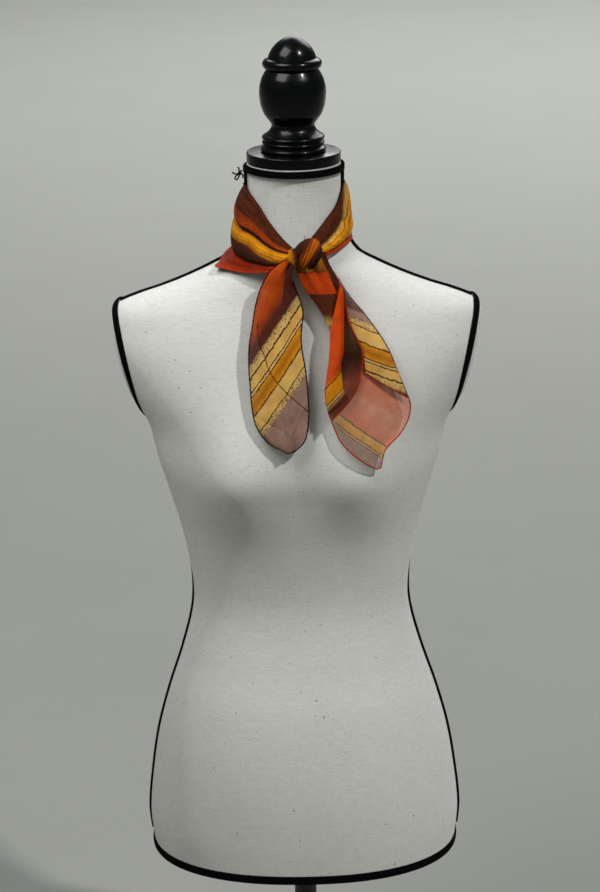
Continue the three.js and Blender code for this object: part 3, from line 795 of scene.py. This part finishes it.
def turned(name, profile, foot, material, slot, nodes, steps=72):
    """Spins a profile of (height, radius) in millimetres about the axis, from a foot height."""
    shape = bmesh.new()
    verts = [shape.verts.new((radius * MM, 0, foot + z * MM)) for z, radius in profile]
    edges = [shape.edges.new(pair) for pair in zip(verts, verts[1:])]
    bmesh.ops.spin(
        shape,
        geom=verts + edges,
        cent=(0, 0, 0),
        axis=(0, 0, 1),
        angle=math.tau,
        steps=steps,
        use_merge=True,
    )
    bmesh.ops.remove_doubles(shape, verts=shape.verts, dist=1e-6)
    bmesh.ops.recalc_face_normals(shape, faces=shape.faces)
    piece = finish_mesh(name, shape, material, slot, nodes)
    sharpen(piece, 38)
    return piece


def arc(z, radius, size, start, end, steps=6):
    """Points of a rounded edge about a centre at a height and radius."""
    points = []
    for i in range(steps + 1):
        angle = math.radians(lerp(start, end, i / steps))
        points.append((z + size * math.sin(angle), radius + size * math.cos(angle)))
    return points


FINIAL_PROFILE = (
    [(0, 0), (0, 32.6)]
    + arc(2.4, 31.4, 2.4, -70, 70)
    + [(5.2, 31.2), (5.8, 30.6), (7, 30.6)]
    + arc(9.2, 30.4, 1.9, -80, 70)
    + [(11.4, 30.4), (12, 31.2)]
    + arc(14.4, 30.2, 2.2, -60, 60)
)
FINIAL_SPINE = [
    (16.6, 30.6), (19, 27.2), (22, 24.2), (25, 22.6), (27.8, 22.3), (31.3, 24.4), (35, 27.2),
         (39.6, 30.2),
    (47.8, 33), (56, 34.2), (62, 34.4), (68, 33.7), (75, 31.7), (80, 29.2), (83.4, 27.2),
]
FINIAL_HEAD = [
    (96.6, 24.6), (101, 22.9), (105.6, 20.2), (109.5, 16.8), (113, 12.4), (115.8, 7.4), (117.2, 3),
]


def finial_profile():
    points = list(FINIAL_PROFILE)
    points += [along(FINIAL_SPINE, i / 60) for i in range(1, 61)]
    points += arc(89.8, 25.2, 5.3, -78, 78, 14)
    points += [(95.4, 25)]
    points += [along(FINIAL_HEAD, i / 30) for i in range(31)]
    return points + [(117.5, 0)]


def hard_pieces():
    thick = (CAP_HIGH.z - CAP_LOW.z) / MM
    radius = CAP_HIGH.x / MM
    edge = 1.4
    cap = [(0, 0), *arc(edge, radius - edge, edge, -90, 0)]
    cap += [*arc(thick - edge, radius - edge, edge, 0, 90), (thick, 0)]
    turned("neck_cap", cap, CAP_LOW.z, LACQUER, "lacquered_wood", ["form_neck_cap"], 96)
    finial_foot = CAP_HIGH.z + 0.2 * MM
    turned("finial", finial_profile(), finial_foot, LACQUER, "lacquered_wood", ["form_finial"])
    base_low, base_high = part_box("stand_base")
    base_radius = base_high.x / MM
    collar = (base_high.z - base_low.z) / MM
    base = [(0, 0), *arc(3, base_radius - 3, 3, -90, 0), *arc(6, base_radius - 3, 3, 0, 80)]
    base += [(11, 140), (14.5, 90), (16.4, 50), (17.4, 32), (19, 25)]
    base += [*arc(collar - 2, 15.5, 2, 0, 90), (collar, 0)]
    turned("base_plate", base, base_low.z, PAINT, "stand_metal", ["stand_base"], 128)
    pole_low, pole_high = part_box("stand_pole")
    tall = (pole_high.z - pole_low.z) / MM
    pole_radius = pole_high.x / MM
    pole = [(0, 0), (0, pole_radius), *[(tall * i / 6, pole_radius) for i in range(1, 7)], (tall, 0)]
    turned("pole", pole, pole_low.z, PAINT, "stand_metal", ["stand_pole"], 48)


# ------------------------------------------------------------------ the scarf: sheets

SHEET_THICKNESS = 0.25 * MM


def cloth_sheet(name, rows, columns, place, chart, material, nodes=()):
    """A stretch of cloth: place gives its points and chart its place on the print."""
    shape = grid_shape(columns, rows, place, chart)
    bmesh.ops.recalc_face_normals(shape, faces=shape.faces)
    piece = finish_mesh(name, shape, material, "chiffon", nodes)
    thicken = piece.modifiers.new("thickness", "SOLIDIFY")
    thicken.thickness = SHEET_THICKNESS
    thicken.offset = 0
    return piece


def hem_run(place, rows, side, from_row=0, to_row=None):
    """The points down one side of a sheet, from one of its rows to another."""
    to_row = rows if to_row is None else to_row
    return [place(side, row / rows) for row in range(from_row, to_row + 1)]


def rolled_hem(name, points, material, radius=0.62):
    """A fine rolled and stitched edge: a thin cord with a slight wave in its thickness."""
    curve = bpy.data.curves.new(name, "CURVE")
    curve.dimensions = "3D"
    spline = curve.splines.new("POLY")
    spline.points.add(len(points) - 1)
    for i, (point, target) in enumerate(zip(points, spline.points)):
        target.co = (*point, 1)
        target.radius = 1 + 0.16 * math.sin(2.1 * i)
    curve.bevel_depth = radius * MM
    curve.bevel_resolution = 2
    curve.use_fill_caps = True
    return curve_piece(name, curve, material, "chiffon")


# ------------------------------------------------------------------ the scarf: neck loop

# Each station is a turn about the neck, from the front by way of -X, and the section of the cloth
# there from its upper to its lower edge: radius from the axis, height, and place on the print.
LEFT_LOOP = [
    (3, [(58, 684, 2), (60, 682.5, 9), (61.5, 681, 17), (62.5, 679.5, 25), (63.5, 678, 43),
         (66, 677, 55), (68.5, 675, 63), (69, 673, 70), (69, 671.5, 106), (69, 670, 120),
         (69.5, 668, 138)]),
    (16, [(53, 694, 2), (57, 690, 9), (58.5, 685, 17), (59.5, 681.4, 25), (60, 679.6, 43),
         (65, 678.4, 55), (69, 673.6, 65), (69.5, 669.6, 76), (68.5, 667, 106), (70, 664.6, 120),
         (70.5, 662, 138)]),
    (31, [(52, 709, 2), (55.5, 702, 9), (57.5, 694.5, 17), (58, 687.6, 25), (57.5, 684.6, 43),
         (64, 683, 55), (68.5, 676.5, 69), (69.5, 670, 86), (67.5, 666.4, 106), (69.5, 663, 120),
         (71.5, 659.5, 138)]),
    (47, [(51.5, 725, 2), (56, 716, 9), (58.5, 705.5, 17), (58.5, 696.5, 25), (57, 693, 43),
         (64, 691, 55), (69, 682, 78), (69.5, 671.6, 94), (66.5, 667.4, 106), (70.5, 662.4, 120),
         (74.5, 657.5, 138)]),
    (68, [(50.5, 735, 2), (57, 724, 9), (61.5, 711.5, 17), (61.5, 701, 25), (59, 697, 43),
         (65.5, 695, 55), (69, 684.5, 78), (68.5, 674, 94), (65.5, 670.6, 106), (73, 665, 120),
         (82.5, 659.4, 138)]),
    (90, [(50, 739, 2), (57, 728.5, 9), (62, 716, 17), (62.5, 706.5, 25), (60, 702.6, 43),
         (64, 700.4, 55), (66, 690, 78), (65, 680, 94), (62.5, 676, 106), (66.5, 671.4, 120),
         (75, 664, 138)]),
    (112, [(50, 741.5, 2), (56, 731.5, 9), (60.5, 719.5, 17), (62, 709, 25), (60, 705, 43),
         (62.5, 702, 55), (64.5, 692, 78), (63.5, 682, 94), (61.5, 678, 106), (64, 673.6, 120),
         (70, 667.5, 138)]),
]
RIGHT_LOOP = [
    (250, [(50, 742, 176), (54, 735.6, 180), (57, 727, 188), (58.5, 718, 196), (58, 711, 202),
         (59, 706.6, 206), (61, 699, 210), (61, 692, 214), (59.5, 688, 222), (60, 684.6, 232),
         (60, 680, 242)]),
    (270, [(51.5, 740, 178), (55.5, 734, 186), (57.5, 725, 192), (58.6, 716, 198), (58.4, 710.4, 202),
         (59.4, 706, 206), (60.4, 698, 210), (60.2, 691.6, 214), (58.8, 687.6, 220), (59.4, 684.4, 232),
         (59.4, 681, 242)]),
    (286, [(49.8, 731, 172), (52.8, 725.6, 178), (55, 719.4, 186), (57, 712.6, 192), (57.6, 708.6, 198),
         (59, 703.6, 204), (60.2, 696, 208), (60.4, 689.6, 212), (59.2, 686, 220), (59.8, 683.4, 232),
         (59.8, 681, 242)]),
    (302, [(50.6, 720.5, 162), (53.4, 715.6, 166), (55, 709.6, 172), (55.4, 703.6, 178),
         (56, 700.6, 184), (60.4, 697.4, 192), (62, 692, 200), (61.6, 687.6, 208), (60, 685, 220),
         (61, 683, 232), (61.4, 680.6, 242)]),
    (316, [(51.6, 713, 160), (54.6, 707.6, 164), (56, 701.6, 170), (56.6, 695.6, 176), (57.6, 692, 182),
         (62, 689.6, 192), (63.6, 686.4, 202), (63.4, 683.4, 210), (62, 681.6, 220), (63, 680, 232),
         (63.6, 678, 242)]),
    (330, [(53.4, 703, 160), (56.4, 697.6, 164), (58.4, 692, 170), (59.6, 687.4, 176), (60.6, 685, 182),
         (63.6, 683.4, 192), (65, 681.4, 202), (65, 679.6, 210), (64, 678.4, 220), (64.6, 677.2, 232),
         (65, 675.6, 242)]),
    (342, [(57, 694, 160), (59.4, 690, 164), (61, 686, 170), (62, 682.6, 176), (62.6, 681, 182),
         (65, 680, 192), (66, 678.6, 202), (66, 677.4, 210), (65.4, 676.6, 220), (65.8, 675.8, 232),
         (66, 674.8, 242)]),
]
BACK_LOOP = [
    LEFT_LOOP[-1],
    (145, [(50.5, 744, 4), (55, 736, 16), (58.5, 726, 24), (59.6, 716, 30), (57.8, 712, 42),
         (60.4, 709, 54), (62, 699.4, 66), (61, 690, 80), (59, 686.4, 98), (61.4, 682.4, 110),
         (63.5, 675.5, 124)]),
    (180, [(50.5, 745.5, 4), (55, 738, 14), (58.4, 728.6, 24), (59.4, 718.6, 30), (57.4, 714.6, 42),
         (60, 711.6, 54), (61.4, 702, 66), (60.6, 693, 80), (58.4, 689.4, 98), (60.6, 685.4, 110),
         (61, 678, 124)]),
    (215, [(50.2, 744.5, 4), (54.6, 737.4, 14), (57.8, 728.4, 24), (59, 718.6, 30), (57.6, 713.4, 42),
         (59.6, 709.6, 54), (61.2, 701, 66), (60.8, 693, 80), (58.8, 689, 98), (60.4, 685.2, 110),
         (60.6, 679.4, 124)]),
    (250, [(50, 742, 4), (54, 735.6, 14), (57, 727, 24), (58.5, 718, 30), (58, 711, 42),
         (59, 706.6, 54), (61, 699, 66), (61, 692, 80), (59.5, 688, 98), (60, 684.6, 110),
         (60, 680, 124)]),
]
LEAST_CLEARANCE = 1.1


def loop_sheet(name, stations, rows, columns, nodes, overlap=0.0, corner=0):
    start, end = stations[0][0], stations[-1][0]
    count = len(stations[0][1])

    def section(turn):
        points = []
        for k in range(count):
            table = [(station, *part[k]) for station, part in stations]
            points.append(tuple(smooth_at(table, turn, column) for column in (1, 2, 3)))
        return points

    sections = [section(lerp(start, end, row / rows)) for row in range(rows + 1)]

    def spot(across, down):
        turn = lerp(start, end, down)
        radius, z, print_place = along(sections[round(down * rows)], across)
        tremor = 0.35 * math.sin(turn * 0.31 + across * 17) + 0.2 * math.sin(turn * 0.83 + across * 41)
        radius += tremor * math.sin(math.pi * across)
        radius += corner * bump(turn, 69, 5) * across**8
        angle = math.radians(turn)
        dx, dy = -math.sin(angle), -math.cos(angle)
        cord = 3.2 * (bump(turn, 90, 4) + bump(turn, 270, 4))
        radius = max(radius + overlap, reach_at(dx, dy, z) + LEAST_CLEARANCE + cord)
        return radius, z, print_place, dx, dy, turn

    def place(across, down):
        radius, z, _, dx, dy, _ = spot(across, down)
        return at(radius * dx, radius * dy, z)

    def chart(across, down):
        _, _, print_place, _, _, turn = spot(across, down)
        return turn * 1.1, print_place

    piece = cloth_sheet(name, rows, columns, place, chart, WOUND, nodes)
    hems = [
        rolled_hem(f"{name}_upper_edge", hem_run(place, rows, 0), HEM_DARK, 0.5),
        rolled_hem(f"{name}_lower_edge", hem_run(place, rows, 1), HEM_RED, 0.6),
    ]
    return piece


# ------------------------------------------------------------------ the scarf: knot

KNOT_X, KNOT_Y, KNOT_Z = 11.5, -66.5, 677.5
KNOT_LEAN = math.radians(36)  # the wrap's axis drops towards +X
KNOT_HALF, KNOT_TALL, KNOT_DEEP = 14, 18, 13
KNOT_FOLDS = [(-0.62, 2.2), (-0.3, 1.2), (-0.06, 2.0), (0.2, 1.1), (0.42, 2.0), (0.7, 1.6)]


def knot_wrap():
    """The band of cloth that goes over the knot, pleated along its way round."""
    rows, columns = 120, 60
    axis = Vector((math.cos(KNOT_LEAN), 0, -math.sin(KNOT_LEAN)))
    up = Vector((math.sin(KNOT_LEAN), 0, math.cos(KNOT_LEAN)))
    out = Vector((0, -1, 0))

    def place(across, down):
        angle = math.radians(lerp(-160, 200, down))
        side = lerp(-1, 1, across)
        skew = 0.18 * math.sin(angle) + 0.05 * math.sin(2 * angle + 3 * side)
        fold = sum(depth * bump(side + skew, spot, 0.06) for spot, depth in KNOT_FOLDS)
        swell = max(1 - abs(side) ** 3.2, 0) ** 0.5
        fold *= 0.55 + 0.65 * max(math.cos(angle), 0)
        tall = (KNOT_TALL * swell - fold * swell) * (1 + 0.09 * math.sin(3 * side + angle))
        deep = (KNOT_DEEP * swell - fold * swell) * (1 + 0.04 * math.cos(4 * side))
        centre = Vector((KNOT_X, KNOT_Y, KNOT_Z))
        p = centre + axis * side * KNOT_HALF + out * deep * math.cos(angle) + up * tall * math.sin(angle)
        return at(*p)

    def chart(across, down):
        return down * 90, lerp(262, 346, across)

    piece = cloth_sheet("knot_wrap", rows, columns, place, chart, WOUND, ["scarf_knot"])


def knot_tuck():
    """The small bright fold that comes out at the knot's lower left."""
    left = [(-6.4, 685, -71), (-7.4, 680, -75), (-6.4, 674, -77), (-3.6, 668.5, -76), (-1.4, 665, -73)]
    right = [(-1, 688, -75), (1.4, 682, -80), (2.4, 675, -81.5), (2.2, 669, -79), (1.4, 665, -74)]

    def place(across, down):
        x, z, y = (lerp(p, q, across) for p, q in zip(along(left, down), along(right, down)))
        return at(x, y - 1.6 * math.sin(math.pi * across), z)

    piece = cloth_sheet(
        "knot_tuck", 30, 14, place, lambda across, down: (down * 25, lerp(54, 82, across)), WOUND
    )


# ------------------------------------------------------------------ the scarf: hanging ends


def hanging_sheet(name, left, right, rows, columns, relief, chart_of, material, nodes=(), lift=0):
    """A sheet between two edges of (x, height, clearance from the chest), lifted lower down."""

    def flat_spot(across, down):
        a, b = along(left, down), along(right, down)
        return tuple(lerp(p, q, across) for p, q in zip(a, b))

    def place(across, down):
        x, z, off = flat_spot(across, down)
        off += relief(across, down) + lift * (1 - smooth_step(570, 640, z))
        return at(x, chest_at(x, z) - max(off, LEAST_CLEARANCE), z)

    def chart(across, down):
        x, z, _ = flat_spot(across, down)
        return chart_of(x, z)

    piece = cloth_sheet(name, rows, columns, place, chart, material, nodes)
    return piece, place


def stripe(angle, x, z, value):
    """A print place that grows across stripes lying at an angle, with a value at one spot."""
    slope = math.radians(angle)

    def chart(px, pz):
        run = (px - x) * math.cos(slope) + (pz - z) * math.sin(slope)
        across = (px - x) * math.sin(slope) - (pz - z) * math.cos(slope)
        return run, value + across

    return chart


def laid_on(piece, points, lift):
    """Moves points in front of a piece, on the nearest of its own points, with a lift."""
    spots = [vert.co for vert in piece.data.vertices]
    laid = []
    for point in points:
        near = min(spots, key=lambda spot: (spot.x - point.x) ** 2 + (spot.z - point.z) ** 2)
        laid.append(Vector((point.x, near.y - lift * MM, point.z)))
    return laid


LEFT_FRONT_EDGES = (
    [(-8, 677, 26), (-25, 664, 25), (-35, 647, 22), (-41, 629, 20), (-45, 607, 18), (-48.5, 588, 17),
     (-49, 568, 16), (-48, 550, 15), (-47, 533, 14), (-44, 515, 13), (-38, 503, 12), (-29, 493, 12),
          (-15, 485, 11)],
    [(-2, 672, 26), (-3, 659, 25), (0, 646, 22), (5, 632, 20), (7, 620, 19), (5, 605, 18),
     (5, 589, 17), (8, 570, 16), (10, 553, 15), (11, 535, 14), (11, 518, 12), (7, 497, 12),
          (-5, 484.5, 11)],
)
LEFT_BACK_EDGES = (
    [(-12, 664, 20), (-26, 645, 18), (-37, 622, 16), (-40, 606, 14.5), (-38, 593, 13), (-32, 579, 12),
     (-29, 568, 11), (-20, 555, 9), (-6, 541, 8), (7, 529, 7)],
    [(-6, 662, 20), (-2, 646, 18), (4, 625, 16), (3.5, 606, 14.5), (3.5, 592, 13), (5, 578, 12),
     (7, 566, 11), (8.5, 553, 9), (9.5, 541, 8), (10.5, 528, 7)],
)


def left_end():
    def relief(across, down):
        crown = 4.5 * math.sin(math.pi * across) * (0.4 + 0.6 * math.sin(math.pi * min(down * 1.2, 1)))
        throat = 1 - smooth_step(0.0, 0.3, down)
        pleat = -4.0 * throat * bump(across, 0.62, 0.1) + 2.5 * throat * bump(across, 0.8, 0.09)
        fold = 1.6 * bump(across, 0.78 - 0.25 * down, 0.07) * smooth_step(0.1, 0.3, down)
        wave = 1.1 * math.sin(5.2 * across + 6 * down) * smooth_step(0.15, 0.4, down)
        curl = -2.5 * bump(across, 0.0, 0.06) + 1.5 * bump(across, 1.0, 0.06)
        creases = 0.9 * bump(across, 2.9 - 2.6 * down, 0.035) - 0.8 * bump(across, 3.1 * down - 2.2, 0.03)
        creases -= 0.8 * bump(across, 0.9 - 0.5 * down, 0.03) * bump(down, 0.8, 0.12)
        return crown + pleat + fold + wave + curl + creases

    def back_relief(across, down):
        return 1.0 * math.sin(math.pi * across) + 0.8 * math.sin(7 * down + 3 * across)

    bands = stripe(54.3, -47.5, 558, 75)

    def chart(x, z):
        run, across = bands(x, z)
        # Near the knot, right of x -15 and above z 604, the print is pushed towards the MAUVE band:
        # painted shade of the fold there.
        if across < 62:
            dark = 16 * smooth_step(-15, -7, x) * smooth_step(604, 634, z)
            across = min(across + dark, 62)
        return run, across

    rows = 110
    front, place = hanging_sheet(
        "left_end_front", *LEFT_FRONT_EDGES, rows, 44, relief, chart, BANDED, ["scarf_end_left_front"]
    )
    back, back_place = hanging_sheet(
        "left_end_back", *LEFT_BACK_EDGES, 70, 30, back_relief, stripe(54.3, -47.5, 556, 76), BANDED,
        ["scarf_end_left_back"],
    )
    outline = hem_run(place, rows, 0)
    outline += [place(i / 20, 1) for i in range(1, 21)]
    outline += hem_run(place, rows, 1, 12)[::-1]
    hem = rolled_hem("left_end_hem", outline, HEM_DARK, 0.72)
    fold_line = [*hem_run(back_place, 70, 0, 20), at(10, 0, 526)]
    inner = rolled_hem("left_end_inner_hem", laid_on(front, fold_line, 0.3), HEM_FOLD, 0.36)


RIGHT_LIFT = 5
RIGHT_BACK_EDGES = (
    [(6, 665, 14), (13, 642, 13), (23, 627, 12.5), (30, 614, 12), (34, 601, 11.5), (33, 581, 10.5),
         (30, 562, 9.5),
     (28.5, 548, 9), (29, 536, 8.5), (32, 522, 8), (38, 506, 7), (44, 494, 6.5), (55, 483, 6),
          (68, 473, 5.5), (80, 466, 5)],
    [(26, 674, 14), (35, 664, 13), (42, 656, 12.5), (48, 645, 12), (57, 632, 12), (70, 617, 11.5),
         (85, 597, 10.5),
     (95, 580, 9.5), (103, 560, 9), (111, 540, 8.5), (115.5, 526, 8), (113, 511, 7), (103, 497, 6.5),
          (89, 485, 6), (84, 467, 5)],
)
RIGHT_PANEL_EDGES = (
    [(44, 650, 19), (48, 638, 19), (51, 626, 18.5), (55, 610, 18), (61, 597, 17.5), (66.5, 586, 17),
         (68, 576, 16), (69.5, 563, 15)],
    [(47, 648, 19), (57, 634, 19), (69, 619, 18.5), (82, 602, 18), (92, 586, 17.5), (100, 569, 17),
         (107, 551, 16), (113, 535, 15)],
)
RIGHT_INNER_EDGES = (
    [(38, 655, 22), (44, 640, 22), (46, 620, 21.5), (46, 600, 21), (44, 580, 20), (38, 562, 18.5),
         (34, 545, 17), (32, 530, 15), (34, 516, 14)],
    [(46, 648, 22), (50, 632, 22), (54, 612, 21.5), (62, 596, 21), (66.5, 582, 20), (65, 564, 18.5),
         (60, 546, 17), (50, 533, 15), (38, 521, 14)],
)
RIGHT_STRIP_EDGES = (
    [(45, 649, 26), (42, 636, 26), (36, 612, 25), (34, 600, 24.5), (33, 581, 23.5), (30, 562, 22),
         (28.5, 548, 20), (29, 536, 18), (31, 524, 16)],
    [(47.5, 647, 26), (49, 636, 26), (49, 614, 25), (48.5, 602, 24.5), (48, 586, 23.5), (45, 572, 22),
         (46, 560, 20), (50, 549, 18), (55, 543, 17)],
)
RIGHT_THROAT_EDGES = (
    [(1, 673, 21), (0.5, 665, 20), (4, 655, 19), (11, 641, 18), (18, 632, 17), (26, 620, 16),
         (33, 606, 15)],
    [(30, 681, 21), (35, 668, 20), (40, 659, 19), (45, 649, 19), (46, 638, 20), (44, 626, 20),
         (40, 612, 20)],
)


def right_end():
    def back_relief(across, down):
        crown = 3.0 * math.sin(math.pi * across) * math.sin(math.pi * min(0.15 + down, 1))
        wave = 1.3 * math.sin(6.5 * across - 5 * down + 0.6) * smooth_step(0.2, 0.5, down)
        lift = 3.5 * bump(across, 1.0, 0.12) * bump(down, 0.86, 0.09)
        return crown + wave + lift - 1.5 * bump(across, 0.0, 0.07)

    def panel_relief(across, down):
        return 2.2 * math.sin(math.pi * across) + 0.8 * math.sin(9 * down + 4 * across)

    def inner_relief(across, down):
        trough = -3.0 * bump(across, 0.35, 0.18) * math.sin(math.pi * min(down + 0.1, 1))
        return trough + 0.8 * math.sin(8 * down + 5 * across)

    def strip_relief(across, down):
        crown = 2.6 * math.sin(math.pi * across)
        return crown - 3.4 * bump(across, 1.0, 0.16) + 0.6 * math.sin(10 * down + 3 * across)

    def throat_relief(across, down):
        top = 1 - smooth_step(0.1, 0.7, down)
        pleats = 2.4 * bump(across, 0.3, 0.09) - 2.6 * bump(across, 0.5, 0.08)
        pleats += 2.0 * bump(across, 0.72, 0.08)
        return top * pleats + 2.5 * math.sin(math.pi * across)

    def panel_print(x, z):
        across = 85 + 0.375 * (x - 67) + 0.927 * (z - 577)
        return x - z, across + 40 * smooth_step(119, 126, across)

    def back_print(x, z):
        return x - z, 238 - 0.588 * (x - 41) - 0.809 * (z - 523)

    def strip_print(x, z):
        return x + z, max(346 + 0.707 * (x - 33) - 0.707 * (z - 555), 306)

    def inner_print(x, z):
        return x + z, 460 - 0.7 * (z - 560) + 0.2 * (x - 50)

    def throat_print_and_shade(x, z):
        edge = 14 + (676 - z) * 0.44
        # Right of the pleats, the print place runs into the BROWN and DARK bands: painted shadow of the
        # fold between the throat and the strip.
        if x > edge + 12:
            return z, 20 + (x - edge) * 0.5
        if z > 662:
            return x, 70 + (676 - z) * 0.2
        return x, max(146 - abs(z - 652) * 0.8, 112) if z > 640 else 160 + (640 - z) * 0.75

    rows = 120
    back, place = hanging_sheet(
        "right_end_back", *RIGHT_BACK_EDGES, rows, 56, back_relief, back_print, TIPS,
        ["scarf_end_right_back"], RIGHT_LIFT,
    )
    panel, panel_place = hanging_sheet(
        "right_end_panel", *RIGHT_PANEL_EDGES, 80, 36, panel_relief, panel_print, BANDED,
        ["scarf_end_right_panel"], RIGHT_LIFT,
    )
    inner, inner_place = hanging_sheet(
        "right_end_inner", *RIGHT_INNER_EDGES, 80, 30, inner_relief, inner_print, FOLDED,
        (), RIGHT_LIFT,
    )
    strip, strip_place = hanging_sheet(
        "right_end_strip", *RIGHT_STRIP_EDGES, 90, 26, strip_relief, strip_print, FOLDED,
        ["scarf_end_right_flap"], RIGHT_LIFT,
    )
    throat, _ = hanging_sheet(
        "right_end_throat", *RIGHT_THROAT_EDGES, 60, 40, throat_relief, throat_print_and_shade, THROAT,
        (), RIGHT_LIFT,
    )
    outline = hem_run(place, rows, 0, 60)
    outline += [place(i / 6, 1) for i in range(1, 7)]
    outline += hem_run(place, rows, 1, 84)[::-1]
    hem = rolled_hem("right_end_hem", outline, HEM_RED, 0.68)
    upper_hem = rolled_hem("right_end_upper_hem", hem_run(place, rows, 1, 20, 84), HEM_DARK, 0.5)
    panel_edge = hem_run(panel_place, 80, 0)
    panel_edge += [panel_place(i / 24, 1) for i in range(1, 25)]
    panel_hem = rolled_hem("right_end_panel_hem", panel_edge, HEM_RED, 0.6)
    inner_hem = rolled_hem("right_end_inner_hem", hem_run(inner_place, 80, 1, 8), HEM_RED, 0.6)
    strip_hem = rolled_hem("right_end_strip_edge", hem_run(strip_place, 90, 1), HEM_DARK, 0.45)


# ------------------------------------------------------------------ stage, light and camera

EYE = Vector((0.0017, -2.543, HEM + 1.279))
PITCH, ROLL = math.radians(18), math.radians(0.94)
LENS = 100.9


def stage():
    shape = bmesh.new()
    bmesh.ops.create_grid(shape, x_segments=1, y_segments=1, size=14)
    mesh = bpy.data.meshes.new("floor")
    shape.to_mesh(mesh)
    shape.free()
    floor = bpy.data.objects.new("floor", mesh)
    bpy.context.scene.collection.objects.link(floor)
    r = Recipe("floor_paint")
    place = r.add("TexCoord").outputs["Object"]
    r.link(
        r.mix(r.noise(place, 3, 3), colour("8E908A"), colour("93958F")),
        r.shader.inputs["Base Color"],
    )
    r.set(Roughness=0.95, Specular_IOR_Level=0.1)
    mesh.materials.append(r.material)


def lights():
    world = bpy.data.worlds.new("studio")
    bpy.context.scene.world = world
    world.use_nodes = True
    background = world.node_tree.nodes["Background"]
    background.inputs["Color"].default_value = colour("C2C8C4")
    background.inputs["Strength"].default_value = 0.18
    sun = bpy.data.lights.new("key", "SUN")
    sun.energy = 1.75
    sun.angle = math.radians(3)
    aim(sun, (0.74, -0.56, 1.0), (0, 0, 0))
    overhead = bpy.data.lights.new("overhead", "AREA")
    overhead.size = 0.9
    overhead.energy = 21
    aim(overhead, (-0.7, -0.56, 2.25), (0, -0.1, 0.8))
    lamp = bpy.data.lights.new("backdrop_light", "AREA")
    lamp.size = 6
    lamp.energy = 405
    aim(lamp, (1.3, 6.4, 4.2), (0.8, 5.4, 0))


def aim(lamp, spot, target):
    holder = bpy.data.objects.new(lamp.name, lamp)
    holder.location = spot
    holder.rotation_euler = (Vector(target) - Vector(spot)).to_track_quat("-Z", "Y").to_euler()
    bpy.context.scene.collection.objects.link(holder)


def camera():
    lens = bpy.data.cameras.new("view")
    lens.lens = LENS
    lens.sensor_width = 36
    lens.clip_end = 60
    eye = bpy.data.objects.new("view", lens)
    turn = Matrix.Rotation(math.radians(90) - PITCH, 4, "X") @ Matrix.Rotation(-ROLL, 4, "Z")
    eye.matrix_world = Matrix.Translation(EYE) @ turn
    bpy.context.scene.collection.objects.link(eye)
    bpy.context.scene.camera = eye


camera()
stage()
lights()
torso()
for arm, arm_word in ((-1, "left"), (1, "right")):
    arm_plate(arm, arm_word)
trims()
neck_bow()
hard_pieces()
loop_sheet("neck_cloth_left", LEFT_LOOP, 110, 90, ["scarf_neck_left"], corner=6)
loop_sheet("neck_cloth_back", BACK_LOOP, 90, 70, ["scarf_neck_back"])
loop_sheet("neck_cloth_right", RIGHT_LOOP, 100, 80, ["scarf_neck_right"])
knot_wrap()
knot_tuck()
left_end()
right_end()
bpy.context.scene.view_settings.view_transform = "Standard"
